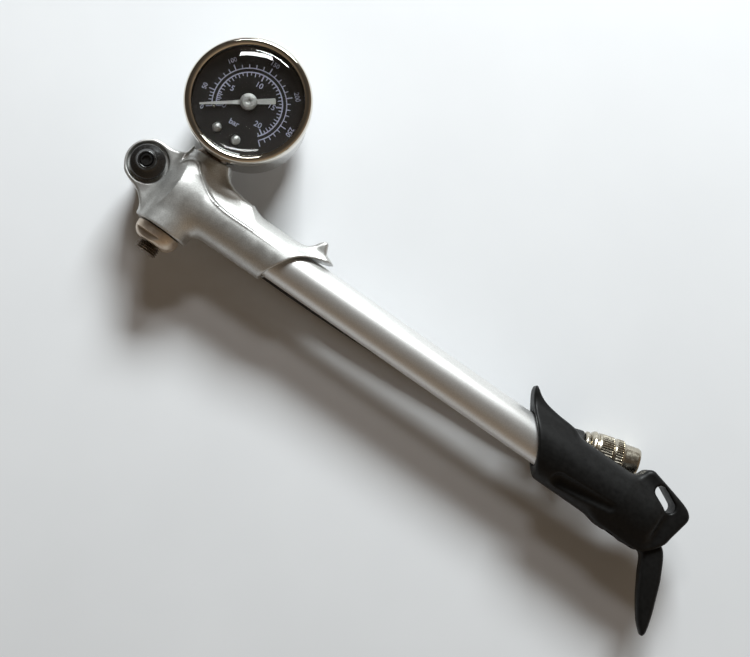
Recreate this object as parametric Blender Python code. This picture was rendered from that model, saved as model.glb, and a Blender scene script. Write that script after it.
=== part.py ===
"""High-pressure suspension pump: a piston pump with a dial gauge, a swivelling hose and a folding lever.

Frame: metres, +Z up. +X runs along the barrel from the head to the handle, +Y points from the barrel to the
gauge, and the gauge faces +Z. The origin is on the swivel bolt's flat head, which the pump stands on,
straight below the line of the barrel's axis.
The numbers below are millimetres, and new_object() turns them into metres.
"""

import math

import bmesh
import bpy
from mathutils import Matrix, Vector

MM = 0.001
GAP = 0.3  # between parts that touch

# Driving dimensions
AXIS_Z = 17.5  # height of the barrel's axis
LUG_X, LUG_Y = 1.2, 1.6  # the bleed button and the hose swivel share this axis
CROSS_X = 16.2  # the head's cross tube and the gauge's socket stand on this X
BARREL_R = 6.8
BORE_R = 5.5
BARREL_START_X = 33.4
BARREL_END_X = 168.0
ROD_R = 3.1
STROKE = 110.0
END_CAP_X = 160.0  # the end of the barrel's cap that stops the piston
STOP_SPARE = 2.7  # left between the piston's buffer and the cap at full stroke
ROD_PIN_X = 181.0
HOSE_R = 2.75
GAUGE_R = 20.4  # bezel
GAUGE_CAN_R = 18.9
GAUGE_X, GAUGE_Y = 17.1, 34.9
GAUGE_BACK_Z = 8.0
GAUGE_FACE_Z = 32.5
POINTER_ZERO_DEG = 217.0  # counted from +X, counter-clockwise
LEVER_PIVOT = (194.0, -8.0)
CONNECTOR_CENTRE = (178.0, 10.9, 6.3)
CONNECTOR_TURN_DEG = 16.5
FERRULE_TURN_DEG = -9.0
SWIVEL_STUB_Z = 3.7
VALVE_THREAD_R = 3.85  # the standard tyre valve thread, 0.305 inch

ROUND = 28  # sides of a large round shape
SMALL = 14  # sides of a small one
TINY = 10  # sides of a pin

# The hose's centreline in the pump's frame, from the swivel ferrule to the boot of the valve connector
HOSE_ROUTE = (
    (20.4, -1.45, 3.6),
    (28.0, -2.3, 3.35),
    (37.0, -3.0, 3.05),
    (48.0, -3.5, 2.9),
    (60.0, -3.65, 2.9),
    (72.0, -3.55, 2.9),
    (84.0, -3.3, 2.9),
    (96.0, -2.9, 2.9),
    (108.0, -2.3, 2.95),
    (120.0, -1.4, 3.2),
    (130.0, -0.4, 3.7),
    (139.0, 0.9, 4.6),
    (147.0, 2.4, 5.4),
    (153.9, 3.95, 6.0),
    (159.75, 5.5, 6.3),
)

MATERIALS = {
    # name: (colour, roughness, metallic)
    "cast_silver": ((0.62, 0.62, 0.60), 0.42, 0.9),
    "anodised_silver": ((0.72, 0.72, 0.70), 0.28, 1.0),
    "chrome": ((0.80, 0.78, 0.74), 0.08, 1.0),
    "nickel": ((0.66, 0.60, 0.50), 0.20, 1.0),
    "dark_nickel": ((0.20, 0.16, 0.12), 0.35, 1.0),
    "steel": ((0.60, 0.60, 0.60), 0.30, 1.0),
    "brass": ((0.70, 0.52, 0.22), 0.30, 1.0),
    "black_nylon": ((0.012, 0.012, 0.012), 0.45, 0.0),
    "black_gloss": ((0.010, 0.010, 0.010), 0.22, 0.0),
    "black_rubber": ((0.015, 0.015, 0.015), 0.65, 0.0),
    "dial_black": ((0.010, 0.010, 0.011), 0.50, 0.0),
    "pointer_white": ((0.80, 0.80, 0.78), 0.40, 0.0),
    "clear_glass": ((0.95, 0.97, 0.97), 0.03, 0.0),
}


# ---------------------------------------------------------------- helpers

def material(name):
    """The named Principled material, made on first use."""
    found = bpy.data.materials.get(name)
    if found:
        return found
    colour, roughness, metallic = MATERIALS[name]
    made = bpy.data.materials.new(name)
    made.use_nodes = True
    shader = made.node_tree.nodes["Principled BSDF"]
    shader.inputs["Base Color"].default_value = (*colour, 1.0)
    shader.inputs["Roughness"].default_value = roughness
    shader.inputs["Metallic"].default_value = metallic
    return made


def body(name, at=(0, 0, 0), turn_deg=0.0, parent=None):
    """An empty on a joint's axis. The pieces that move together are its children."""
    empty = bpy.data.objects.new(name, None)
    bpy.context.scene.collection.objects.link(empty)
    place = Matrix.Translation(Vector(at) * MM) @ Matrix.Rotation(math.radians(turn_deg), 4, "Z")
    if parent:
        empty.parent = parent
        place = parent.matrix_world.inverted() @ place
    empty.matrix_basis = place
    bpy.context.view_layer.update()
    return empty


def new_object(name, bm, finish, parent):
    """Turns a bmesh in the body's own millimetres into an object that rides on the body."""
    bmesh.ops.remove_doubles(bm, verts=bm.verts, dist=1e-5)
    bmesh.ops.recalc_face_normals(bm, faces=bm.faces)
    bmesh.ops.scale(bm, vec=(MM, MM, MM), verts=bm.verts)
    mesh = bpy.data.meshes.new(name)
    bm.to_mesh(mesh)
    bm.free()
    obj = bpy.data.objects.new(name, mesh)
    bpy.context.scene.collection.objects.link(obj)
    obj.parent = parent
    mesh.materials.append(material(finish))
    mesh.shade_smooth()
    mesh.set_sharp_from_angle(angle=math.radians(35))
    return obj


def helper(obj):
    """Marks an object that only cuts or joins another one."""
    obj.hide_render = True
    obj.display_type = "WIRE"
    return obj


def combine(obj, others, operation):
    """Joins or cuts obj with hidden helper objects."""
    for other in others:
        step = obj.modifiers.new(f"{operation.lower()} {other.name}", "BOOLEAN")
        step.operation = operation
        step.object = helper(other)
    return obj


def revolved(profile, sides, axis="Z", at=(0, 0, 0), turn_deg=0.0, roll_deg=0.0):
    """A closed (radius, height) outline turned round an axis through the point at.

    turn_deg swings the axis about Z, and roll_deg turns the facets about the axis.
    """
    bm = bmesh.new()
    verts = [bm.verts.new((radius, 0, height)) for radius, height in profile]
    edges = [bm.edges.new((a, b)) for a, b in zip(verts, verts[1:] + verts[:1])]
    bmesh.ops.spin(bm, geom=verts + edges, cent=(0, 0, 0), axis=(0, 0, 1), dvec=(0, 0, 0),
                   angle=math.tau, steps=sides, use_merge=True, use_duplicate=False)
    bmesh.ops.remove_doubles(bm, verts=bm.verts, dist=1e-4)
    loose = [edge for edge in bm.edges if not edge.link_faces]
    bmesh.ops.delete(bm, geom=loose, context="EDGES")
    turn = Matrix.Rotation(math.radians(turn_deg), 4, "Z")
    if axis == "X":
        turn = turn @ Matrix.Rotation(math.radians(90), 4, "Y")
    if axis == "Y":
        turn = turn @ Matrix.Rotation(math.radians(-90), 4, "X")
    roll = Matrix.Rotation(math.radians(roll_deg), 4, "Z")
    bmesh.ops.transform(bm, matrix=Matrix.Translation(at) @ turn @ roll, verts=bm.verts)
    return bm


def disc(radius, low, high, hole=0.0):
    """The outline of a plain cylinder, or of a ring when it has a hole."""
    return [(hole, low), (radius, low), (radius, high), (hole, high)]


def prism(outline, low, high):
    """An XY outline extruded along Z."""
    bm = bmesh.new()
    face = bm.faces.new([bm.verts.new((x, y, low)) for x, y in outline])
    raised = bmesh.ops.extrude_face_region(bm, geom=[face])["geom"]
    bmesh.ops.translate(bm, vec=(0, 0, high - low),
                        verts=[v for v in raised if isinstance(v, bmesh.types.BMVert)])
    return bm


def arc(centre, radius, start_deg, end_deg, count):
    """Points along an arc, both ends included."""
    angles = [math.radians(start_deg + (end_deg - start_deg) * i / (count - 1)) for i in range(count)]
    return [(centre[0] + radius * math.cos(a), centre[1] + radius * math.sin(a)) for a in angles]


def shifted(bm, by):
    """The same bmesh, moved."""
    bmesh.ops.translate(bm, vec=by, verts=bm.verts)
    return bm


def torus(major, minor, centre=(0, 0, 0), axis="X"):
    """An O-ring."""
    ring = arc((major, 0), minor, 0, 360, 7)[:-1]
    return revolved(ring, SMALL, axis, centre)


def coil(radius, wire, start, end, turns, axis):
    """A helical spring as a swept mesh, with round wire and closed ends."""
    per_turn, around = 9, 5
    count = int(turns * per_turn) + 1
    bm = bmesh.new()
    rings = []
    for i in range(count):
        angle = math.tau * i / per_turn
        height = start + (end - start) * i / (count - 1)
        ring = []
        for side in range(around):
            turn = math.tau * side / around
            out = radius + wire * math.cos(turn)
            along = height + wire * math.sin(turn)
            flat = (out * math.cos(angle), out * math.sin(angle))
            place = (along, *flat) if axis == "X" else (*flat, along)
            ring.append(bm.verts.new(place))
        rings.append(ring)
    for first, second in zip(rings, rings[1:]):
        for side in range(around):
            after = (side + 1) % around
            bm.faces.new((first[side], first[after], second[after], second[side]))
    bm.faces.new(rings[0])
    bm.faces.new(reversed(rings[-1]))
    return bm


def smooth_points(route, samples):
    """Catmull-Rom points through a route, samples of them to each span."""
    ends = [tuple(2 * a - b for a, b in zip(route[0], route[1])),
            tuple(2 * a - b for a, b in zip(route[-1], route[-2]))]
    padded = [Vector(p) for p in (ends[0], *route, ends[1])]
    made = []
    for i in range(1, len(padded) - 2):
        before, start, end, after = padded[i - 1:i + 3]
        for step in range(samples):
            t = step / samples
            made.append(0.5 * (2 * start + (end - before) * t
                               + (2 * before - 5 * start + 4 * end - after) * t * t
                               + (3 * start - before - 3 * end + after) * t ** 3))
    made.append(padded[-2])
    return made


def tube_along(name, points, radius, finish, parent, resolution=2):
    """A round tube along points in millimetres, as a curve with filled caps."""
    curve = bpy.data.curves.new(name, "CURVE")
    curve.dimensions = "3D"
    curve.bevel_depth = radius * MM
    curve.bevel_resolution = resolution
    curve.use_fill_caps = True
    line = curve.splines.new("POLY")
    line.points.add(len(points) - 1)
    for target, point in zip(line.points, points):
        target.co = (*(Vector(point) * MM), 1.0)
    obj = bpy.data.objects.new(name, curve)
    bpy.context.scene.collection.objects.link(obj)
    obj.parent = parent
    curve.materials.append(material(finish))
    return obj


# ---------------------------------------------------------------- head

SLEEVE_R = 8.7
COLLAR_R = 9.5
COLLAR_FACE_Y = -13.6
NECK_TOP_Y = 12.4
LUG_R = 7.7
LUG_LOW_Z, LUG_TOP_Z = 10.2, 22.4
BUTTON_WELL_R, BUTTON_WELL_Z = 6.8, 20.6
LUG_AXIS = (LUG_X, LUG_Y, 0)
SOCKET_R = 7.0
SOCKET_START_X = 29.7
CROSS_BORE_R = 4.0
NECK_RELIEF_R = 5.9  # room in the web for the gauge socket's shoulder
BLEED_BORE_R = 2.0
SPRING_POCKET_R, SPRING_POCKET_Z = 3.2, 15.6
BOLT_R = 2.4
BOLT_TOP_Z = 13.8
TRANSFER_R = 1.3
BLEED_ROLL_DEG, CROSS_ROLL_DEG = 4.0, 7.0  # keep the facets of crossing bores from lining up
SLEEVE_MOUTH = ((50.3, -12), (51.6, -6.5), (54.8, -0.7), (58, 3.8), (62, 6.6), (67, 8.2), (80, 8.2),
                (80, -12))


def make_head(root):
    """The die-cast head: sleeve, cross tube, button lug, gauge web and finger fin in one casting."""
    origin = (CROSS_X, 0, AXIS_Z)
    sleeve = revolved([(0, 12), (SLEEVE_R + 1, 12), (SLEEVE_R + 1, 22), (SLEEVE_R + 0.2, 30),
                       (SLEEVE_R, 40), (SLEEVE_R, 68), (0, 68)], ROUND, "X", (0, 0, AXIS_Z))
    head = new_object("head_casting", sleeve, "cast_silver", root)
    mouth = new_object("cut_mouth", prism(SLEEVE_MOUTH, 0, 40), "cast_silver", root)
    cross = new_object("add_cross_tube", revolved(
        [(0, COLLAR_FACE_Y), (COLLAR_R, COLLAR_FACE_Y), (9.2, -4), (9.0, 7), (8.5, 10.4), (7.4, NECK_TOP_Y),
         (0, NECK_TOP_Y)], ROUND, "Y", origin), "cast_silver", root)
    lug_outline = arc((LUG_X, LUG_Y), LUG_R, 85, 235, 16) + [
        (-0.6, -6.6), (2.0, -7.7), (3.7, -9.2), (5.0, -11.0), (7.4, -12.6), (CROSS_X, -12.6), (CROSS_X, 11),
        (8.4, 11.4), (6.2, 10.4), (4.4, 9.5)]
    lug = new_object("add_lug", prism(lug_outline, LUG_LOW_Z, LUG_TOP_Z), "cast_silver", root)
    web_outline = [(12, 10), (16, 13.6), (20.5, 15.2), (23, 15.4), (24.7, 13.2), (28.2, 11), (36.5, 10),
                   (37.6, 6), (16, 4)]
    web = new_object("add_web", prism(web_outline, AXIS_Z - 4, AXIS_Z + 4), "cast_silver", root)
    fin_outline = [(50, 5.5), (57, 8.2), (59.8, 11.2), (61.5, 13.7), (63.2, 13.2), (64.4, 10.4), (67, 8.3),
                   (60.5, 5.6)]
    fin = new_object("add_fin", prism(fin_outline, AXIS_Z - 4, AXIS_Z + 4), "cast_silver", root)
    barrel_bore = [(0, -1), (TRANSFER_R, -1), (TRANSFER_R, 22.5), (2.5, 22.5), (2.5, SOCKET_START_X),
                   (SOCKET_R, SOCKET_START_X), (SOCKET_R, 80), (0, 80)]
    bleed_bore = [(0, 5), (BOLT_R + 0.15, 5), (BOLT_R + 0.15, BOLT_TOP_Z + 0.4),
                  (BLEED_BORE_R, BOLT_TOP_Z + 0.4),
                  (BLEED_BORE_R, SPRING_POCKET_Z), (SPRING_POCKET_R, SPRING_POCKET_Z),
                  (SPRING_POCKET_R, BUTTON_WELL_Z), (BUTTON_WELL_R, BUTTON_WELL_Z), (BUTTON_WELL_R, 30),
                  (0, 30)]
    cross_bore = [(0, -20), (CROSS_BORE_R, -20), (CROSS_BORE_R, NECK_TOP_Y - 0.1),
                  (NECK_RELIEF_R, NECK_TOP_Y - 0.1), (NECK_RELIEF_R, 20), (0, 20)]
    cutters = [
        new_object("cut_barrel_bore", revolved(barrel_bore, ROUND, "X", (0, 0, AXIS_Z)), "cast_silver",
                   root),
        new_object("cut_cross_bore", revolved(cross_bore, SMALL, "Y", origin, roll_deg=CROSS_ROLL_DEG),
                   "cast_silver", root),
        new_object("cut_bleed_bore", revolved(bleed_bore, ROUND, at=LUG_AXIS, roll_deg=BLEED_ROLL_DEG),
                   "cast_silver", root),
        new_object("cut_seal_groove", revolved(disc(6.4, COLLAR_FACE_Y - 1, COLLAR_FACE_Y + 1.2, 4.9),
                                               SMALL, "Y",
                                               origin), "cast_silver", root),
    ]
    combine(head, [mouth], "DIFFERENCE")
    combine(head, [cross, lug, web, fin], "UNION")
    combine(head, cutters, "DIFFERENCE")


PLUG_END_Y = -19.0
STUD_END_Y = -22.3


def make_valve_plug(root):
    """The plug that closes the cross bore, with two wrench flats, and the stud that the hose is parked on."""
    at = (CROSS_X, 0, AXIS_Z)
    face = COLLAR_FACE_Y - GAP
    plug = new_object("valve_plug", revolved(
        [(0, -5.2), (CROSS_BORE_R - 0.25, -5.2), (CROSS_BORE_R - 0.25, face), (7.5, face), (7.5, -15.6),
         (7.1, -17.0), (6.2, -18.2), (4.9, PLUG_END_Y), (0, PLUG_END_Y)], ROUND, "Y", at), "nickel", root)
    cutters = []
    for side in (0, 180):
        flat = prism([(-12, -16.6), (12, -16.6), (12, -25), (-12, -25)], 5.6, 12)
        bmesh.ops.rotate(flat, cent=(0, 0, 0), matrix=Matrix.Rotation(math.radians(side - 20), 3, "Y"),
                         verts=flat.verts)
        cutters.append(new_object(f"cut_flat_{side}", shifted(flat, at), "nickel", root))
    cutters.append(new_object("cut_plug_bore", revolved(disc(2.1, -22, -9), SMALL, "Y", at), "nickel", root))
    combine(plug, cutters, "DIFFERENCE")
    new_object("parking_stud", revolved(
        [(0, -10), (1.9, -10), (1.9, PLUG_END_Y - GAP), (VALVE_THREAD_R, PLUG_END_Y - GAP),
         (VALVE_THREAD_R, STUD_END_Y + 0.4), (3.4, STUD_END_Y), (1.0, STUD_END_Y), (1.0, STUD_END_Y + 1),
         (0, STUD_END_Y + 1)], ROUND, "Y", at), "dark_nickel", root)
    new_object("plug_seal", torus(5.6, 0.55, (CROSS_X, COLLAR_FACE_Y + 0.55 - GAP / 2, AXIS_Z), "Y"),
               "black_rubber", root)


def make_check_valve(root):
    """The ball valve between the barrel and the head, with its spring, its seat and the barrel's washer."""
    axis_at = (0, 0, AXIS_Z)
    new_object("check_valve_seat", revolved(disc(6.6, 30.0, 32.3, 0.9), SMALL, "X", axis_at), "brass", root)
    ball = bmesh.new()
    bmesh.ops.create_icosphere(ball, subdivisions=2, radius=1.6)
    new_object("check_valve_ball", shifted(ball, (28.1, 0, AXIS_Z)), "steel", root)
    new_object("check_valve_spring", shifted(coil(1.6, 0.28, 23.0, 26.0, 3, "X"), axis_at), "steel", root)
    new_object("barrel_washer", revolved(disc(6.7, 32.6, 33.1, 5.2), SMALL, "X", axis_at), "black_rubber",
               root)


def make_barrel(root):
    """The drawn barrel tube and the plastic cap that guides the rod."""
    axis_at = (0, 0, AXIS_Z)
    new_object("barrel_tube", revolved(disc(BARREL_R, BARREL_START_X, BARREL_END_X, BORE_R), ROUND, "X",
                                       axis_at), "anodised_silver", root)
    new_object("barrel_end_cap", revolved(
        [(ROD_R + 0.2, END_CAP_X), (BORE_R - 0.2, END_CAP_X), (BORE_R - 0.2, BARREL_END_X + GAP),
         (BARREL_R, BARREL_END_X + GAP), (BARREL_R - 0.4, BARREL_END_X + 2.6),
         (ROD_R + 1.4, BARREL_END_X + 2.6),
         (ROD_R + 1.4, BARREL_END_X + 1.2), (ROD_R + 0.2, BARREL_END_X + 1.2)], SMALL, "X", axis_at),
        "black_nylon", root)
    new_object("rod_wiper", torus(ROD_R + 0.75, 0.5, (BARREL_END_X + 1.9, 0, AXIS_Z)), "black_rubber", root)


# ---------------------------------------------------------------- bleed valve

def make_bleed_valve(root, valve):
    """The domed bleed button in its well, with its screw, stem seal and return spring."""
    new_object("bleed_button", revolved(
        [(0, 19.4), (1.6, 19.4), (1.6, 22.2), (5.5, 22.2), (5.8, 22.5), (5.8, 23.4), (5.4, 24.0),
         (4.3, 25.0),
         (3.0, 26.2), (2.2, 26.5), (2.2, 25.3), (0, 25.3)], ROUND), "black_gloss", valve)
    new_object("button_screw", revolved(
        [(0, 25.6), (1.95, 25.6), (1.95, 26.8), (1.25, 26.8), (1.25, 26.0), (0, 26.0)], SMALL),
        "dark_nickel", valve)
    new_object("bleed_stem", revolved([(0, 15.0), (1.3, 15.0), (1.3, 19.0), (0, 19.0)], SMALL),
               "brass", valve)
    new_object("bleed_stem_seal", torus(1.95, 0.4, (LUG_X, LUG_Y, 16.3), "Z"), "black_rubber", root)
    new_object("bleed_spring", shifted(coil(2.45, 0.3, 17.2, 21.4, 4, "Z"), LUG_AXIS), "steel", root)


# ---------------------------------------------------------------- gauge

DIAL_Z = 26.6
DIAL_R = GAUGE_CAN_R - 1.1
SCREW_OFFSETS = (-3.5, 3.5)
SCREW_DROP = -12.0
SECTOR_PIVOT_DROP = -9.6
PINION_TEETH, SECTOR_TEETH = 10, 60
GEAR_MODULE = 0.2743  # (pinion + sector teeth) x module / 2 is the distance between their axes
SECTOR_Z = (20.9, 21.7)


def gear_outline(teeth, module, first, last, inner, thin=0.34):
    """The outline of a gear's teeth from first to last, closed through the points in inner."""
    pitch_r = teeth * module / 2
    root_r, tip_r = pitch_r - 1.15 * module, pitch_r + 0.85 * module
    points = []
    for tooth in range(first, last + 1):
        middle = math.tau * tooth / teeth
        step = math.tau / teeth
        for radius, share in ((root_r, -0.36), (pitch_r, -thin * 0.5), (tip_r, -0.13), (tip_r, 0.13),
                              (pitch_r, thin * 0.5), (root_r, 0.36)):
            angle = middle + share * step
            points.append((radius * math.cos(angle), radius * math.sin(angle)))
    return points + list(inner)


def turned(points, degrees, centre=(0, 0)):
    """An outline turned about the origin and moved to centre."""
    c, s = math.cos(math.radians(degrees)), math.sin(math.radians(degrees))
    return [(centre[0] + x * c - y * s, centre[1] + x * s + y * c) for x, y in points]


def make_gauge_case(root):
    """Can, bezel, lens, dial with its two screws, the stop pin, and the socket that screws into the head."""
    centre = (GAUGE_X, GAUGE_Y, 0)
    can = new_object("gauge_can", revolved(
        [(0, GAUGE_BACK_Z), (GAUGE_CAN_R - 0.9, GAUGE_BACK_Z), (GAUGE_CAN_R, GAUGE_BACK_Z + 0.9),
         (GAUGE_CAN_R, 29.0), (GAUGE_CAN_R - 0.8, 29.0), (GAUGE_CAN_R - 0.8, GAUGE_BACK_Z + 1.6),
         (0, GAUGE_BACK_Z + 1.6)], ROUND, "Z", centre), "steel", root)
    hole = new_object("cut_can_hole", revolved(disc(5.3, 13, 18), SMALL, "Y", (CROSS_X, 0, AXIS_Z)),
                      "steel", root)
    combine(can, [hole], "DIFFERENCE")
    new_object("gauge_bezel", revolved(
        [(GAUGE_CAN_R + 0.3, 27.2), (GAUGE_R - 0.3, 27.2), (GAUGE_R, 27.6), (GAUGE_R, 31.4),
         (GAUGE_R - 0.6, GAUGE_FACE_Z), (GAUGE_R - 1.3, GAUGE_FACE_Z), (GAUGE_R - 2.7, 31.9),
         (GAUGE_R - 2.7, 31.4), (GAUGE_CAN_R + 0.3, 31.4)], ROUND, "Z", centre), "chrome", root)
    new_object("gauge_lens", revolved(
        [(0, 29.4), (GAUGE_CAN_R - 0.1, 29.4), (GAUGE_CAN_R - 0.1, 31.0), (GAUGE_R - 3.0, 31.0), (12, 31.6),
         (6, 32.0), (0, 32.1)], ROUND, "Z", centre), "clear_glass", root)
    dial = new_object("gauge_dial", revolved(disc(DIAL_R, DIAL_Z, DIAL_Z + 0.5, 1.0), ROUND, "Z", centre),
                      "dial_black", root)
    holes = []
    for number, offset in enumerate(SCREW_OFFSETS, 1):
        place = (GAUGE_X + offset, GAUGE_Y + SCREW_DROP, 0)
        holes.append(new_object(f"cut_dial_hole_{number}", revolved(disc(0.95, 20, 30), TINY, "Z", place),
                                "dial_black", root))
        new_object(f"dial_screw_{number}", revolved(
            [(0, 24.2), (0.7, 24.2), (0.7, 27.4), (1.35, 27.4), (1.35, 27.9), (0.9, 28.4), (0, 28.5)], TINY,
            "Z",
            place), "chrome", root)
    stop_angle = math.radians(POINTER_ZERO_DEG + 6)
    stop = (GAUGE_X + 10.9 * math.cos(stop_angle), GAUGE_Y + 10.9 * math.sin(stop_angle), 0)
    holes.append(new_object("cut_stop_hole", revolved(disc(0.7, 20, 30), TINY, "Z", stop), "dial_black",
                            root))
    new_object("pointer_stop_pin", revolved(disc(0.45, 26.2, 28.4), TINY, "Z", stop), "chrome", root)
    combine(dial, holes, "DIFFERENCE")
    new_object("gauge_socket", revolved(
        [(0, 5.0), (3.75, 5.0), (3.75, NECK_TOP_Y + 0.2), (5.4, NECK_TOP_Y + GAP), (5.4, 14.9), (4.6, 15.2),
         (4.6, 17.0), (4.9, 17.4), (4.9, 22.2), (0, 22.2)], ROUND, "Y", (CROSS_X, 0, AXIS_Z)),
        "chrome", root)


def make_gauge_movement(root, sector_body, pointer_body):
    """Bourdon tube and movement plate, the sector gear that the tube turns, and the pointer's pinion."""
    ring = [(GAUGE_X + 11.8 * math.cos(math.radians(a)), GAUGE_Y + 11.8 * math.sin(math.radians(a)), 14.6)
            for a in range(-60, 201, 10)]
    tube_along("bourdon_tube", ring, 1.5, "brass", root)
    plate_outline = [(-4.6, -15.5), (4.6, -15.5), (4.6, -6), (3.2, 3.4), (-3.2, 3.4), (-4.6, -6)]
    plate = new_object("movement_plate", prism(turned(plate_outline, 0, (GAUGE_X, GAUGE_Y)), 22.9, 23.7),
                       "brass", root)
    shafts = [new_object("cut_pointer_shaft", revolved(disc(0.75, 15, 30), TINY, "Z", (GAUGE_X, GAUGE_Y, 0)),
                         "brass", root),
              new_object("cut_sector_shaft", revolved(disc(0.85, 15, 30), TINY, "Z",
                                                      (GAUGE_X, GAUGE_Y + SECTOR_PIVOT_DROP, 0)), "brass",
                                                      root)]
    combine(plate, shafts, "DIFFERENCE")
    # The sector's own millimetres start at its shaft. Its teeth face the pinion, which is straight up +Y.
    inner = [(1.2, 1.6), (-1.4, 1.6), (-1.4, -1.6), (1.2, -1.6)]
    sector = turned(gear_outline(SECTOR_TEETH, GEAR_MODULE, -9, 2, inner), 90)
    blade = new_object("sector_gear", prism(sector, *SECTOR_Z), "brass", sector_body)
    shaft = new_object("add_sector_shaft", revolved(disc(0.6, 19.6, 24.2), TINY), "brass", sector_body)
    combine(blade, [shaft], "UNION")
    pinion = turned(gear_outline(PINION_TEETH, GEAR_MODULE, 0, PINION_TEETH - 1, ()), 270 + 18)
    gear = new_object("pointer_pinion", prism(pinion, SECTOR_Z[0] - 0.4, SECTOR_Z[1] + 0.4), "brass",
                      pointer_body)
    arbor = new_object("add_arbor", revolved(disc(0.5, 19.6, 28.0), TINY), "brass", pointer_body)
    combine(gear, [arbor], "UNION")
    needle = [(-8.6, -0.85), (-8.2, 0.85), (-1.5, 0.8), (1.5, 0.75), (15.4, 0.22), (15.4, -0.22),
              (1.5, -0.75),
              (-1.5, -0.8)]
    pointer = new_object("pointer", prism(turned(needle, POINTER_ZERO_DEG), 28.0, 28.35), "pointer_white",
                         pointer_body)
    boss = new_object("add_pointer_boss", revolved(
        [(0, 27.6), (1.9, 27.6), (2.3, 28.0), (2.3, 28.6), (1.6, 29.0), (0, 29.1)], SMALL), "pointer_white",
        pointer_body)
    socket = new_object("cut_pointer_socket", revolved(disc(0.65, 27, 28.3), TINY), "pointer_white",
                        pointer_body)
    combine(pointer, [boss], "UNION")
    combine(pointer, [socket], "DIFFERENCE")


# ---------------------------------------------------------------- plunger and handle

HANDLE_MID_Y, HANDLE_MID_Z = -0.7, 0.6  # from the barrel's axis
HANDLE_HALF_Y, HANDLE_HALF_Z = 9.8, 8.5
HANDLE_BORE_R = 7.2
LEVER_LOW_Z, LEVER_TOP_Z = -3.2, 3.2
END_LOW_Z, END_TOP_Z = -4.8, 4.8
HANDLE_FRONT = ((130, 20), (144.2, 20), (144.2, 14.3), (147.2, 8.5), (149.4, 5.4), (153.0, 0.8),
                (157.0, -5.9),
                (160.6, -12), (160.6, -20), (130, -20))
HANDLE_END = ((182, 8.3), (186.2, 8.6), (187.4, 9.8), (188.2, 11.4), (189.2, 13.0), (190.7, 13.5),
              (193.3, 12.8),
              (199.6, 11.1), (204.7, 9.7), (206.5, 8.8), (207.8, 7.4), (208.1, 6.0), (207.3, 2.8),
              (206.5, -1.0),
              (206.4, -5.3), (201.3, -10.4), (198.5, -10.6), (182, -10.6))
LEVER_SLOT = ((190.2, -8), (190.2, -4.2), (214, -4.2), (214, -22), (182, -22), (187, -12.6), (189.6, -9.8))
LANYARD_EYE = ((196.2, 9.0), (200.9, 6.6))
EYE_R = 2.0


def handle_sections():
    """The grip's cross-sections along X, as (x, half width, half height)."""
    return ((142, 1.0, 1.0), (186, 1.0, 1.0), (196, 0.985, 0.93), (200.5, 0.95, 0.85))


def make_handle(plunger):
    """The moulded grip: an oval sleeve round the barrel, a finger fin, and an end block for the lever."""
    grip_bm = bmesh.new()
    rings = []
    for x, wide, high in handle_sections():
        rings.append([grip_bm.verts.new((x,
            HANDLE_MID_Y + HANDLE_HALF_Y * wide * math.cos(math.tau * i / ROUND),
                                         HANDLE_MID_Z + HANDLE_HALF_Z * high * math.sin(math.tau * i / ROUND)))
                      for i in range(ROUND)])
    for first, second in zip(rings, rings[1:]):
        for i in range(ROUND):
            after = (i + 1) % ROUND
            grip_bm.faces.new((first[i], first[after], second[after], second[i]))
    grip_bm.faces.new(reversed(rings[0]))
    grip_bm.faces.new(rings[-1])
    grip = new_object("handle", grip_bm, "black_nylon", plunger)
    fin_outline = [(144.2, 14.6), (145.4, 14.3), (149.2, 12.0), (154.6, 10.8), (163, 9.6), (163, 5),
                   (147, 5),
                   (145.6, 9)]
    fin = new_object("add_handle_fin", prism(fin_outline, -3.8, 3.8), "black_nylon", plunger)
    end = new_object("add_end_block", prism(HANDLE_END, END_LOW_Z, END_TOP_Z), "black_nylon", plunger)
    eye_start, eye_end = (Vector(p) for p in LANYARD_EYE)
    run = math.degrees(math.atan2(*(eye_end - eye_start).yx))
    eye_outline = arc(eye_end, EYE_R, run - 90, run + 90, 7) + arc(eye_start, EYE_R, run + 90, run + 270, 7)
    bore = [(0, 130), (HANDLE_BORE_R, 130), (HANDLE_BORE_R, 172), (ROD_R + 0.2, 172), (ROD_R + 0.2, 186.4),
            (0, 186.4)]
    cuts = [
        new_object("cut_handle_front", prism(HANDLE_FRONT, -20, 20), "black_nylon", plunger),
        new_object("cut_handle_bore", revolved(bore, ROUND, "X"), "black_nylon", plunger),
        new_object("cut_lever_slot", prism(LEVER_SLOT, LEVER_LOW_Z - 0.35, LEVER_TOP_Z + 0.35),
                   "black_nylon",
                   plunger),
        new_object("cut_lever_pin", revolved(disc(1.3, -20, LEVER_TOP_Z + 0.8), TINY, "Z",
                                             (*LEVER_PIVOT, 0)),
                   "black_nylon", plunger),
        new_object("cut_eye", prism(eye_outline, -20, 20), "black_nylon", plunger),
        new_object("cut_rod_pin", revolved(disc(1.15, -20, 5.0), TINY, "Z", (ROD_PIN_X, 0, 0)),
                   "black_nylon",
                   plunger),
    ]
    combine(grip, [fin, end], "UNION")
    combine(grip, cuts, "DIFFERENCE")


PISTON_LONG, BUFFER_LONG = 9.6, 3.0
PISTON_X = END_CAP_X - STOP_SPARE - STROKE - BUFFER_LONG - GAP - PISTON_LONG


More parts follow.
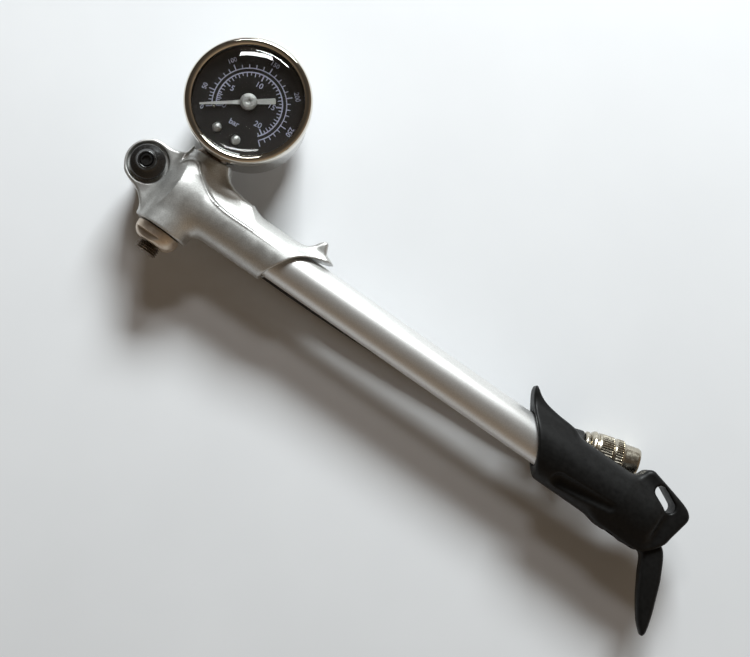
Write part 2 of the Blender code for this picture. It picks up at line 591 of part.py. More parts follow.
def make_plunger(plunger):
    """Rod, piston, piston ring and stop buffer, and the pins that hold rod and lever in the handle."""
    rod = new_object("piston_rod", revolved(disc(ROD_R, PISTON_X + 5.5, 186), SMALL, "X"), "steel", plunger)
    rod_hole = new_object("cut_rod_hole", revolved(disc(1.15, -10, 10), TINY, "Z", (ROD_PIN_X, 0, 0)),
                          "steel",
                          plunger)
    combine(rod, [rod_hole], "DIFFERENCE")
    piston_profile = [(0, 0), (5.2, 0), (5.2, 2.0), (4.1, 2.0), (4.1, 4.0), (5.2, 4.0), (5.2, PISTON_LONG),
                      (ROD_R + 0.2, PISTON_LONG), (ROD_R + 0.2, 5.2), (0, 5.2)]
    new_object("piston", revolved(piston_profile, SMALL, "X", (PISTON_X, 0, 0)), "brass", plunger)
    new_object("piston_ring", torus(4.78, 0.6, (PISTON_X + 3.0, 0, 0)), "black_rubber", plunger)
    new_object("stop_buffer", revolved(disc(5.0, PISTON_LONG + GAP, PISTON_LONG + GAP + BUFFER_LONG,
                                            ROD_R + 0.2),
                                       SMALL, "X", (PISTON_X, 0, 0)), "black_rubber", plunger)
    new_object("rod_pin", revolved(disc(0.95, -7.6, 4.8), TINY, "Z", (ROD_PIN_X, 0, 0)), "steel", plunger)
    new_object("lever_pin", revolved(disc(1.1, END_LOW_Z + 0.2, LEVER_TOP_Z + 0.5), TINY, "Z",
                                     (*LEVER_PIVOT, 0)),
               "steel", plunger)


def make_lever(lever):
    """The folding lever: a boss on the pin, an arm and a tapering blade. Its millimetres start at the pin."""
    world = [(197.0, -11.0), (201.9, -10.6), (205.4, -16.7), (208.9, -23.0), (212.9, -28.8), (215.3, -31.2),
             (217.0, -32.3), (217.6, -30.5), (216.4, -25.8), (214.4, -20.1), (211.6, -13.0), (206.9, -5.2),
             (200.0, -4.8)]
    outline = arc((0, 0), 3.4, 100, 260, 9)
    outline += [(x - LEVER_PIVOT[0], y - LEVER_PIVOT[1]) for x, y in world]
    blade = new_object("folding_lever", prism(outline, LEVER_LOW_Z, LEVER_TOP_Z), "black_nylon", lever)
    bore = new_object("cut_lever_bore", revolved(disc(1.35, -10, 10), TINY), "black_nylon", lever)
    combine(blade, [bore], "DIFFERENCE")


# ---------------------------------------------------------------- hose

SWIVEL_R = 6.0
SWIVEL_LOW_Z, SWIVEL_TOP_Z = 0.6, 9.8


def make_swivel(root, hose):
    """The swivel block that turns on a hollow bolt under the lug, its O-rings, and the crimped ferrule."""
    hexagon = arc((LUG_X, LUG_Y), 4.1, 0, 360, 7)[:-1]
    bolt = new_object("swivel_bolt", prism(hexagon, 0, 2.0), "nickel", root)
    shank = new_object("add_bolt_shank", revolved(disc(BOLT_R, 1.5, BOLT_TOP_Z), SMALL, at=LUG_AXIS),
                       "nickel",
                       root)
    combine(bolt, [shank], "UNION")
    block = new_object("hose_swivel", revolved(
        [(2.65, 2.6), (4.7, 2.6), (4.7, SWIVEL_LOW_Z), (5.4, SWIVEL_LOW_Z), (SWIVEL_R, 1.2),
         (SWIVEL_R, SWIVEL_TOP_Z - 0.6), (5.4, SWIVEL_TOP_Z), (2.65, SWIVEL_TOP_Z), (2.65, 8.9), (3.9, 8.9),
         (3.9, 7.5), (2.65, 7.5), (2.65, 5.4), (3.9, 5.4), (3.9, 4.0), (2.65, 4.0)], ROUND), "nickel", hose)
    stub = new_object("add_swivel_stub", revolved(disc(3.1, 4.9, 9.0), SMALL, "X", (0, 0, SWIVEL_STUB_Z),
                                                  FERRULE_TURN_DEG), "nickel", hose)
    combine(block, [stub], "UNION")
    new_object("swivel_o_ring_upper", torus(3.25, 0.5, (0, 0, 8.2), "Z"), "black_rubber", hose)
    new_object("swivel_o_ring_lower", torus(3.25, 0.5, (0, 0, 4.7), "Z"), "black_rubber", hose)
    new_object("hose_ferrule", revolved(
        [(0, 9.3), (3.1, 9.3), (3.3, 9.8), (3.3, 18.4), (3.1, 19.0), (0, 19.0)], SMALL, "X",
        (0, 0, SWIVEL_STUB_Z), FERRULE_TURN_DEG), "nickel", hose)


def make_hose(hose):
    """The high-pressure hose along its route."""
    route = [(x - LUG_X, y - LUG_Y, z) for x, y, z in HOSE_ROUTE]
    tube_along("hose", smooth_points(route, 2), HOSE_R, "black_rubber", hose)


NUT_R = 6.1
NUT_BORE_R = VALVE_THREAD_R + 0.05
NUT_END_X = 10.4


def make_connector(connector, nut):
    """The valve connector: boot, core, seal and depressor on the hose, and the knurled nut round them."""
    new_object("hose_boot", revolved(
        [(0, -18.6), (3.3, -18.6), (3.7, -18.0), (5.0, -11.0), (5.0, -9.7), (4.6, -9.2), (0, -9.2)], SMALL,
        "X"),
        "black_rubber", connector)
    new_object("connector_core", revolved(
        [(0, -8.9), (4.8, -8.9), (5.3, -8.4), (5.3, -7.6), (3.2, -7.3), (3.2, -3.6), (3.9, -3.3),
         (3.9, -2.2),
         (0, -2.2)], SMALL, "X"), "nickel", connector)
    new_object("connector_seal", revolved(disc(3.5, -1.9, -0.7, 1.2), SMALL, "X"), "black_rubber", connector)
    new_object("valve_depressor", revolved(disc(0.8, -1.9, 0.6), TINY, "X"), "brass", connector)
    new_object("connector_nut", revolved(
        [(3.5, -7.0), (5.2, -7.0), (6.0, -6.2), (6.2, -5.4), (6.0, -5.0), (5.5, -4.8), (5.5, -4.4),
         (6.0, -4.1),
         (NUT_R, -3.6), (NUT_R, 4.0), (5.8, 4.6), (5.3, 5.0), (5.2, 9.4), (4.9, NUT_END_X),
         (NUT_BORE_R, NUT_END_X), (NUT_BORE_R, 1.0), (4.2, 0.6), (4.2, -3.9), (3.5, -4.2)], ROUND, "X"),
        "nickel", nut)


# ---------------------------------------------------------------- assembly

def main():
    for obj in list(bpy.data.objects):
        bpy.data.objects.remove(obj)
    root = body("pump_body")
    plunger = body("plunger_body", (0, 0, AXIS_Z))
    lever = body("lever_body", (*LEVER_PIVOT, AXIS_Z), parent=plunger)
    valve = body("bleed_valve_body", LUG_AXIS)
    sector = body("sector_body", (GAUGE_X, GAUGE_Y + SECTOR_PIVOT_DROP, 0))
    pointer = body("pointer_body", (GAUGE_X, GAUGE_Y, 0))
    hose = body("hose_body", LUG_AXIS)
    connector = body("connector_frame", CONNECTOR_CENTRE, CONNECTOR_TURN_DEG, hose)
    nut = body("connector_nut_body", CONNECTOR_CENTRE, CONNECTOR_TURN_DEG, hose)
    make_head(root)
    make_valve_plug(root)
    make_check_valve(root)
    make_barrel(root)
    make_bleed_valve(root, valve)
    make_gauge_case(root)
    make_gauge_movement(root, sector, pointer)
    make_handle(plunger)
    make_plunger(plunger)
    make_lever(lever)
    make_swivel(root, hose)
    make_hose(hose)
    make_connector(connector, nut)


main()
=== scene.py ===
"""The looks of the suspension pump: fine meshes, materials, floor, light and camera round the CAD frame.

Lengths are millimetres in the frame's own axes, and MM turns them into metres. The cast head, the plug, the
handle and the lever are blended solids: signed distances on a grid, joined with rounded edges and meshed.
"""

import math

import bmesh
import bpy
import numpy as np
import openvdb
from mathutils import Matrix, Vector


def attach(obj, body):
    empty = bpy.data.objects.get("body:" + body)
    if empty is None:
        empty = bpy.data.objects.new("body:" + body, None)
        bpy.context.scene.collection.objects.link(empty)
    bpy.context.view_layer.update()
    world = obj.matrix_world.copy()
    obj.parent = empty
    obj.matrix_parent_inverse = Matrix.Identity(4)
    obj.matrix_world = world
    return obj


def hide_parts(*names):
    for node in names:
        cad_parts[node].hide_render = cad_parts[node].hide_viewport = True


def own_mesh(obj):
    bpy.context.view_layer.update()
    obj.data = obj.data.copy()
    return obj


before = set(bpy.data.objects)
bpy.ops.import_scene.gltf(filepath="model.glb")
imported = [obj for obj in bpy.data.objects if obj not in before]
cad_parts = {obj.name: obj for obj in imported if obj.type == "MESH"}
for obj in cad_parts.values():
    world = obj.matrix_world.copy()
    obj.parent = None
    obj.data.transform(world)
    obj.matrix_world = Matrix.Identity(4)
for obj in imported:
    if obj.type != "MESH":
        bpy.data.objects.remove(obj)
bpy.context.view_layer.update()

MM = 0.001

# The lines and points of the CAD frame that the pieces are built on
AXIS_Z = 17.5                       # the barrel's axis runs along X at this height, with Y 0
CROSS_X = 16.2                      # the axis of plug, cross tube and gauge socket runs along Y here
LUG = (1.2, 1.6)                    # the upright axis of the bleed button and the hose swivel
GAUGE = (17.1, 34.9)
POINTER_ZERO_DEG = 217.0
LEVER_PIVOT = (194.0, -8.0)
ROD_PIN_X = 181.0
STUB_Z = 3.7
FERRULE_TURN_DEG = -9.0
CONNECTOR = (178.0, 10.9, 6.3)
CONNECTOR_TURN_DEG = 16.5
BARREL_R = 6.8
HOSE_R = 2.75

# Grid steps of the blended solids
COARSE, FINE, FINEST = ((0.3, 0.22, 0.2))
THROUGH = 30.0                      # a cutter's reach where it goes right through


# ---------------------------------------------------------------- camera

CAMERA_TARGET = (91, 0, 17.5)
CAMERA_OFFSET = (0, -43, 408)
CAMERA_ROLL_DEG = 34.9
CAMERA_LENS_MM, SENSOR_WIDE_MM = 61, 36


def linked(name, data):
    """A new object in the scene."""
    made = bpy.data.objects.new(name, data)
    bpy.context.scene.collection.objects.link(made)
    return made


def make_camera():
    """Nearly straight above the pump, a little from the plug's side, and rolled so that the barrel slants."""
    target = Vector(CAMERA_TARGET) * MM
    eye = target + Vector(CAMERA_OFFSET) * MM
    roll = math.radians(CAMERA_ROLL_DEG)
    data = bpy.data.cameras.new("camera")
    data.lens = CAMERA_LENS_MM
    data.sensor_width = SENSOR_WIDE_MM
    camera = linked("camera", data)
    back = (eye - target).normalized()
    along = (Vector((1, 0, 0)) - back * back.x).normalized()
    right = along * math.cos(roll) + back.cross(along) * math.sin(roll)
    place = Matrix((right, back.cross(right), back)).transposed().to_4x4()
    place.translation = eye
    camera.matrix_world = place
    bpy.context.scene.camera = camera
    bpy.context.scene.view_settings.view_transform = "Standard"


# ---------------------------------------------------------------- mesh helpers

def add_piece(name, mesh, material, body, slot, *nodes):
    """Links a finished mesh, in metres, as a piece that rides on a body and stands for CAD nodes."""
    piece = linked(name, mesh)
    mesh.materials.clear()
    mesh.materials.append(material)
    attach(piece, body)
    if nodes:
        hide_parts(*nodes)
    return piece


def mesh_from(name, points, faces, sharp_deg=None):
    """A mesh from points in millimetres, shaded smooth up to the given angle."""
    mesh = bpy.data.meshes.new(name)
    mesh.from_pydata([tuple(p) for p in np.asarray(points, float) * MM], [], [tuple(f) for f in faces])
    mesh.update()
    mesh.shade_smooth()
    if sharp_deg is not None:
        mesh.set_sharp_from_angle(angle=math.radians(sharp_deg))
    return mesh


def mesh_from_plates(name, bm):
    """A mesh from a bmesh in millimetres, which is used up."""
    bmesh.ops.scale(bm, vec=(MM, MM, MM), verts=bm.verts)
    mesh = bpy.data.meshes.new(name)
    bm.to_mesh(mesh)
    bm.free()
    return mesh


def placed(points, axis="Z", at=(0, 0, 0), turn_deg=0.0):
    """Points made round +Z, laid along an axis, swung about Z and moved."""
    turn = Matrix.Rotation(math.radians(turn_deg), 3, "Z")
    if axis == "X":
        turn = turn @ Matrix.Rotation(math.radians(90), 3, "Y")
    if axis == "Y":
        turn = turn @ Matrix.Rotation(math.radians(-90), 3, "X")
    return np.asarray(points, float) @ np.array(turn).T + np.array(at, float)


def rounded_profile(profile, radius, steps=4):
    """A closed outline whose corners are arcs. Corners on the axis stay sharp."""
    made = []
    count = len(profile)
    for i, corner in enumerate(profile):
        here = np.array(corner, float)
        before = np.array(profile[i - 1], float) - here
        after = np.array(profile[(i + 1) % count], float) - here
        long_before, long_after = np.hypot(*before), np.hypot(*after)
        reach = min(radius, 0.45 * long_before, 0.45 * long_after)
        if here[0] < 1e-6 or reach < 1e-3:
            made.append(tuple(here))
            continue
        start = here + before / long_before * reach
        end = here + after / long_after * reach
        for step in range(steps + 1):
            t = step / steps
            made.append(tuple((1 - t) ** 2 * start + 2 * t * (1 - t) * here + t * t * end))
    return made


def turned(name, profile, sides=96, radius=0.25, shape=None, sharp_deg=50, **place):
    """A closed (radius, height) outline turned round an axis, with rounded corners.

    shape(angle, radius, height) may change a ring's radius with the angle, as for flutes and sockets.
    """
    outline = rounded_profile(profile, radius)
    angles = [math.tau * i / sides for i in range(sides)]
    points, faces, rings = [], [], []
    for r, h in outline:
        if r < 1e-6:
            rings.append([len(points)] * sides)
            points.append((0, 0, h))
            continue
        rings.append(list(range(len(points), len(points) + sides)))
        for angle in angles:
            out = shape(angle, r, h) if shape else r
            points.append((out * math.cos(angle), out * math.sin(angle), h))
    for first, second in zip(rings, rings[1:] + rings[:1]):
        for i in range(sides):
            after = (i + 1) % sides
            corners = [first[i], first[after], second[after], second[i]]
            distinct = [c for n, c in enumerate(corners) if c not in corners[:n]]
            if len(distinct) > 2:
                faces.append(distinct)
    mesh = mesh_from(name, placed(points, **place), faces, sharp_deg)
    return outward(mesh)


def add_turned(name, profile, sides, radius, material, body, slot, *nodes, **how):
    """A turned shape, added as a piece."""
    return add_piece(name, turned(name, profile, sides, radius, **how), material, body, slot, *nodes)


def outward(mesh):
    """The mesh with every face turned out."""
    bm = bmesh.new()
    bm.from_mesh(mesh)
    bmesh.ops.remove_doubles(bm, verts=bm.verts, dist=1e-8)
    bmesh.ops.recalc_face_normals(bm, faces=bm.faces)
    bm.to_mesh(mesh)
    bm.free()
    return mesh


def hexagon_radius(angle, apothem):
    """How far a hexagon reaches at an angle."""
    return apothem / math.cos((angle + math.pi / 6) % (math.pi / 3) - math.pi / 6)


def bands(count, around):
    """The quads between count rings of points, each ring of the same number round."""
    faces = []
    for ring in range(count - 1):
        for side in range(around):
            after = (side + 1) % around
            faces.append((ring * around + side, ring * around + after, (ring + 1) * around + after,
                          (ring + 1) * around + side))
    return faces


def threaded(name, root_r, crest_r, low, high, pitch, chamfer=0.4, **place):
    """A solid rod with a real helical thread along it."""
    around, per_turn = 64, 12
    count = int((high - low) / pitch * per_turn) + 1
    points = []
    for i in range(count):
        height = low + (high - low) * i / (count - 1)
        edge = min(height - low, high - height) / chamfer
        for step in range(around):
            angle = math.tau * step / around
            phase = (height / pitch - step / around) % 1.0
            tooth = max(0.0, min(1.0, 2.6 * (0.5 - abs(phase - 0.5)) - 0.15))
            out = root_r + (crest_r - root_r) * tooth * min(1.0, 0.25 + max(0.0, edge))
            points.append((out * math.cos(angle), out * math.sin(angle), height))
    faces = bands(count, around)
    points += [(0, 0, low), (0, 0, high)]
    for step in range(around):
        after = (step + 1) % around
        faces.append((step, len(points) - 2, after))
        faces.append(((count - 1) * around + step, (count - 1) * around + after, len(points) - 1))
    return outward(mesh_from(name, placed(points, **place), faces, 40))


# ---------------------------------------------------------------- blended solids

class Block:
    """A grid of sample points, in millimetres, on which distances are blended and then meshed."""

    def __init__(self, low, high, step):
        self.low = np.array(low, float)
        self.step = step
        counts = [int(math.ceil((b - a) / step)) + 1 for a, b in zip(low, high)]
        lines = [self.low[i] + step * np.arange(counts[i]) for i in range(3)]
        self.x = lines[0].reshape(-1, 1, 1)
        self.y = lines[1].reshape(1, -1, 1)
        self.z = lines[2].reshape(1, 1, -1)

    def mesh(self, name, distance):
        """The surface where the distance is zero."""
        full = np.ascontiguousarray(np.broadcast_to(
            distance, (self.x.size, self.y.size, self.z.size)), dtype=np.float32)
        grid = openvdb.FloatGrid(10.0)
        grid.copyFromArray(np.clip(full, -2.0, 2.0))
        points, quads = grid.convertToQuads(0.0)
        mesh = bpy.data.meshes.new(name)
        mesh.from_pydata((np.asarray(points) * self.step + self.low) * MM, [], quads[:, ::-1].tolist())
        mesh.update()
        mesh.shade_smooth()
        return outward(mesh)


def outline_distance(block, outline):
    """Distance in plan to a closed outline, negative inside."""
    x, y = block.x[:, :, 0], block.y[:, :, 0]
    shape = np.broadcast(x, y).shape
    nearest = np.full(shape, 1e9)
    inside = np.zeros(shape, bool)
    points = [np.array(p, float) for p in outline]
    for a, b in zip(points, points[1:] + points[:1]):
        run = b - a
        t = np.clip(((x - a[0]) * run[0] + (y - a[1]) * run[1]) / max(run @ run, 1e-9), 0, 1)
        nearest = np.minimum(nearest, np.hypot(x - a[0] - t * run[0], y - a[1] - t * run[1]))
        if a[1] != b[1]:
            crossing = (y < a[1]) != (y < b[1])
            inside ^= crossing & (x < a[0] + (y - a[1]) / (b[1] - a[1]) * run[0])
    return np.where(inside, -nearest, nearest)[:, :, None]


def line_distance(block, line):
    """Distance in plan to an open line, and how far along it the nearest point is (0 to 1)."""
    x, y = block.x[:, :, 0], block.y[:, :, 0]
    shape = np.broadcast(x, y).shape
    nearest, along = np.full(shape, 1e9), np.zeros(shape)
    points = [np.array(p, float) for p in line]
    for number, (a, b) in enumerate(zip(points, points[1:])):
        run = b - a
        t = np.clip(((x - a[0]) * run[0] + (y - a[1]) * run[1]) / (run @ run), 0, 1)
        away = np.hypot(x - a[0] - t * run[0], y - a[1] - t * run[1])
        closer = away < nearest
        nearest = np.where(closer, away, nearest)
        along = np.where(closer, (number + t) / (len(points) - 1), along)
    return nearest[:, :, None], along[:, :, None]


def smooth_outline(points, samples=6, closed=True):
    """Catmull-Rom points through an outline."""
    route = [np.array(p, float) for p in points]
    padded = [route[-1], *route, route[0], route[1]] if closed else [route[0], *route, route[-1]]
    made = []
    for before, start, end, after in zip(padded, padded[1:], padded[2:], padded[3:]):
        for step in range(samples):
            t = step / samples
            bend = (2 * before - 5 * start + 4 * end - after) * t * t
            twist = (3 * start - before - 3 * end + after) * t ** 3
            made.append(0.5 * (2 * start + (end - before) * t + bend + twist))
    if not closed:
        made.append(route[-1])
    return made


def join(a, b, blend):
    """The two solids together, with a fillet."""
    h = np.clip(0.5 + 0.5 * (b - a) / blend, 0, 1)
    return b * (1 - h) + a * h - blend * h * (1 - h)


def cut(a, b, blend):
    """The first solid without the second, with a rounded edge."""
    return -join(-a, b, blend)


def both(a, b, blend):
    """What the two solids share, with a rounded edge."""
    return -join(-a, -b, blend)


def slab(plan, height, low, high, rounding):
    """A plan distance made into a plate with rounded edges."""
    side = plan + rounding
    over = np.abs(height - (low + high) / 2) - (high - low) / 2 + rounding
    outside = np.hypot(np.maximum(side, 0), np.maximum(over, 0))
    return np.minimum(np.maximum(side, over), 0) + outside - rounding


def along_table(value, table):
    """Straight-line values between the (place, value) pairs of a table."""
    return np.interp(value, [row[0] for row in table], [row[1] for row in table])


def tube_x(block, centre, profile):
    """A round solid along X: profile is (x, radius) pairs, with straight tapers between them."""
    return np.hypot(block.y - centre[0], block.z - centre[1]) - along_table(block.x, profile)


def rod(distance_from_axis, radius, along, low, high):
    """A plain round rod between two places along its axis."""
    return np.maximum(distance_from_axis - radius, np.abs(along - (low + high) / 2) - (high - low) / 2)


def from_axis(block, centre):
    """Distance in plan to an upright axis."""
    return np.hypot(block.x - centre[0], block.y - centre[1])


def bored(solid, *rods):
    """The solid with sharp-edged holes."""
    for hole in rods:
        solid = np.maximum(solid, -hole)
    return solid


def eased(value, start, end):
    """0 before start, 1 after end, smooth between them."""
    t = np.clip((value - start) / (end - start), 0, 1)
    return t * t * (3 - 2 * t)


# ---------------------------------------------------------------- head

SLEEVE_MOUTH = ((49.9, -12), (50.3, -10), (51.6, -6.5), (54.8, -0.7), (58, 3.8), (62, 6.6), (67, 8.4),
                (72, 9.2), (80, 9.2), (80, -12))
RIDGE = ((9.6, 6.4), (10.4, 8.3), (12.0, 9.8), (13.7, 10.5), (15.4, 10.1), (16.7, 9.0), (19.5, 6.6),
         (24.9, 3.4), (31, 2.3), (40, 2.3), (48, 2.3), (56, 2.4))
WEB = ((12, 9), (16, 13.6), (20.5, 15.2), (23, 15.2), (24.4, 13.2), (26.4, 11.6), (29.2, 10.4), (33, 9.8),
       (36.8, 9.6), (38.6, 8.0), (41, 4.6), (30, 3), (16, 3))
FIN = ((48, 4.5), (54, 6.4), (57.4, 8.0), (59.6, 10.4), (61.2, 12.8), (62.3, 13.6), (63.3, 13.4),
       (63.9, 12.2), (64.9, 10.2), (67.2, 8.3), (64, 5), (56, 3))
LUG_BRIDGE = ((-1, 8.4), (3.5, 9), (9, 11), (15, 11.6), (17, 10), (16, -12.4), (8.4, -12.4), (4.6, -8.6),
              (1.5, -6.2), (-3, -4))
LUG_R = 7.66
LUG_LOW_Z, LUG_HIGH_Z = 10.2, 22.4
SLEEVE_R = ((12, 9.5), (22, 9.3), (30, 8.9), (40, 8.7), (68, 8.7))
CROSS_TUBE_R = ((-13.6, 9.45), (-4, 9.2), (7, 8.9), (10.4, 8.3), (12.4, 7.6), (15, 7.2))
MOUTH_BORE_R = ((47, 6.9), (57, 7.65), (68, 7.9))
CROWN_STEP = ((0, 0.3), (0.2, 0.8), (0.45, 0.8), (0.62, 0.7), (0.75, 0.5), (0.92, 0.3), (1, 0))
BEAD_HIGH, BEAD_WIDE = 0.3, 0.42


def ridged(block, up, body):
    """The casting's crown, which steps down beyond the ridge, with a fine bead on the ridge itself."""
    ridge = smooth_outline(RIDGE, closed=False)
    away, along = line_distance(block, ridge)
    beyond = outline_distance(block, [*ridge, (56, 30), (9.6, 30)])
    step = along_table(along, CROWN_STEP) * eased(-beyond, -0.15, 0.75) * eased(up, -1.0, 4.0)
    ends = along_table(along, ((0, 0), (0.1, 1), (0.75, 1), (1, 0)))
    bead = BEAD_HIGH * np.exp(-(away / BEAD_WIDE) ** 2) * ends * eased(up, 0, 3)
    return body + step - bead


def make_head(material):
    """The die-cast head: every part of it runs into the next with a fillet."""
    block = Block((-8, -15.2, 9), (69.5, 17.2, 28.4), COARSE)
    up = block.z - AXIS_Z
    sleeve = np.maximum(tube_x(block, (0, AXIS_Z), SLEEVE_R), 14 - block.x)
    across = np.hypot(block.x - CROSS_X, up)
    cross = both(across - along_table(block.y, CROSS_TUBE_R), np.abs(block.y - 0.65) - 14.25, 0.5)
    from_lug = from_axis(block, LUG)
    lug_plan = join(from_lug - LUG_R, outline_distance(block, LUG_BRIDGE), 2.5)
    lug = slab(lug_plan, block.z, LUG_LOW_Z, LUG_HIGH_Z, 0.7)
    web = slab(outline_distance(block, WEB), up, -4.4, 4.2, 1.2)
    fin = slab(outline_distance(block, smooth_outline(FIN)), up, -4.2, 4.2, 1.3)
    mouth = slab(outline_distance(block, smooth_outline(SLEEVE_MOUTH)), up, -THROUGH, THROUGH, 0)

    body = join(sleeve, cross, 3.0)
    body = join(body, lug, 2.2)
    body = ridged(block, up, body)
    body = join(body, web, 3.4)
    body = join(body, fin, 2.6)
    body = cut(body, mouth, 0.35)

    round_x = np.hypot(block.y, up)
    body = bored(body, rod(round_x, 7.0, block.x, 29.7, 90))
    relief = np.maximum(round_x - along_table(block.x, MOUTH_BORE_R), MOUTH_BORE_R[0][0] - block.x)
    body = cut(body, relief, 0.2)
    body = bored(body,
                 rod(round_x, 2.5, block.x, 22.5, 32),
                 rod(round_x, 1.3, block.x, -1, 25),
                 rod(across, 4.0, block.y, -20, 20),
                 rod(across, 5.9, block.y, 12.2, 20),
                 rod(from_lug, 2.55, block.z, 5, 14.2),
                 rod(from_lug, 2.0, block.z, 10, 16),
                 rod(from_lug, 3.2, block.z, 15.6, 21))
    body = cut(body, rod(from_lug, 6.75, block.z, 20.6, 40), 0.4)
    mesh = block.mesh("head_shell", body)
    add_piece("head_shell", mesh, material, "pump_body", "cast_silver", "head_casting")


# ---------------------------------------------------------------- handle and lever

HANDLE_MID = (-0.7, 18.1)
HANDLE_BACK_X = 200.5
HANDLE_WIDE = ((142, 9.9), (150, 9.8), (186, 9.75), (196, 9.5), (200.5, 9.2))
HANDLE_HIGH = ((142, 8.5), (186, 8.5), (196, 7.9), (200.5, 7.2))
HANDLE_FRONT = ((130, 20), (144.0, 20), (143.9, 14.3), (145.4, 11.0), (147.4, 8.0), (149.9, 4.9),
                (153.2, 0.6), (157.0, -5.9), (160.4, -12), (161, -20), (130, -20))
HANDLE_END = ((180, 4), (184.5, 6.0), (186.8, 8.1), (188.0, 10.4), (189.1, 12.6), (190.8, 13.5),
              (193.4, 13.0), (199.8, 11.4), (205.1, 9.9), (207.6, 8.5), (208.7, 6.5), (208.1, 3.0),
              (207.2, -1.0), (206.2, -5.0), (202.2, -9.9), (198.5, -10.95), (188, -10.8), (183.5, -10.45),
              (180, -7))
HANDLE_FIN = ((144.0, 14.5), (145.5, 14.2), (147.4, 12.9), (150.4, 11.6), (155, 10.7), (163, 9.5),
              (163, 5), (147, 5), (144.6, 9))
DENT_START, DENT_END = (166.8, -8.1, 26.5), (184.2, -5.4, 27.5)
DENT_START_R, DENT_END_R = 3.9, 2.6
LANYARD_EYE, EYE_R = ((196.2, 9.0), (200.9, 6.6)), 2.0
LEVER_SLOT = ((190.2, -8), (190.2, -4.2), (214, -4.2), (214, -22), (182, -22), (187, -12.6), (189.6, -9.8))
LEVER = ((197.0, -11.0), (201.9, -10.6), (205.4, -16.7), (208.9, -23.0), (212.9, -28.8), (215.3, -31.2),
         (216.9, -32.2), (217.5, -30.5), (216.4, -25.8), (214.4, -20.1), (211.6, -13.0), (206.9, -5.2),
         (200.0, -4.8), (196, -4.7), (194.0, -4.7), (191.6, -5.7), (190.7, -8), (191.6, -10.3), (194, -11.2))


def dent_distance(block):
    """Distance to the dent: a cone with round ends, deepest at its front."""
    start = np.array(DENT_START)
    run = np.array(DENT_END) - start
    t = np.clip(((block.x - start[0]) * run[0] + (block.y - start[1]) * run[1]) / (run[:2] @ run[:2]), 0, 1)
    apart = ((block.x - start[0] - t * run[0]) ** 2 + (block.y - start[1] - t * run[1]) ** 2
             + (block.z - start[2] - t * run[2]) ** 2)
    return np.sqrt(apart) - (DENT_START_R + (DENT_END_R - DENT_START_R) * t)


def make_handle(material):
    """The moulded grip with its cut-away mouth, finger fin, dent, and end block with the lanyard eye."""
    block = Block((141, -13.4, 8.2), (210.5, 17.2, 28), COARSE)
    up = block.z - AXIS_Z
    wide, high = along_table(block.x, HANDLE_WIDE), along_table(block.x, HANDLE_HIGH)
    around = np.hypot((block.y - HANDLE_MID[0]) / wide, (block.z - HANDLE_MID[1]) / high)
    grip = both((around - 1) * 8.4, block.x - HANDLE_BACK_X, 2.5)
    fin = slab(outline_distance(block, smooth_outline(HANDLE_FIN)), up, -3.8, 3.8, 1.2)
    end = slab(outline_distance(block, smooth_outline(HANDLE_END)), up, -4.8, 4.8, 1.5)
    front = slab(outline_distance(block, smooth_outline(HANDLE_FRONT, 4)), up, -THROUGH, THROUGH, 0)
    slot = slab(outline_distance(block, LEVER_SLOT), up, -3.55, 3.55, 0)
    eye, _ = line_distance(block, LANYARD_EYE)

    body = join(join(grip, fin, 3.0), end, 2.6)
    body = cut(body, dent_distance(block), 0.5)
    body = cut(body, front, 0.9)
    round_x = np.hypot(block.y, up)
    body = cut(body, rod(round_x, 7.2, block.x, 130, 172), 0.5)
    body = bored(body, rod(round_x, 3.3, block.x, 130, 186.4))
    body = cut(body, slot, 0.5)
    body = bored(body,
                 rod(from_axis(block, LEVER_PIVOT), 1.3, up, -20, 4.0),
                 rod(from_axis(block, (ROD_PIN_X, 0)), 1.15, up, -20, 5.0))
    body = cut(body, eye - EYE_R + 0 * block.z, 0.9)
    add_piece("handle_grip", block.mesh("handle_grip", body), material, "plunger", "black_nylon", "handle")


def make_lever(material):
    """The folding lever, a flat blade with full round edges that thins towards its tip."""
    block = Block((189.5, -33.2, 13), (218.6, -3.4, 22), FINE)
    up = block.z - AXIS_Z
    half_thick = 3.2 - 0.9 * eased(-block.y, 12, 31)
    blade = slab(outline_distance(block, smooth_outline(LEVER)), up, -half_thick, half_thick, 1.6)
    blade = bored(blade, rod(from_axis(block, LEVER_PIVOT), 1.35, up, -10, 10))
    mesh = block.mesh("lever_blade", blade)
    add_piece("lever_blade", mesh, material, "lever", "black_nylon", "folding_lever")


# ---------------------------------------------------------------- materials

NOISE_LOW, NOISE_HIGH = 0.3, 0.7    # most of a noise lies between these


def fill_ramp(node, stops):
    """Gives a colour ramp its (position, colour) stops."""
    elements = node.color_ramp.elements
    while len(elements) < len(stops):
        elements.new(0.5)
    for element, (position, colour) in zip(elements, stops):
        element.position = position
        element.color = (*colour, 1)


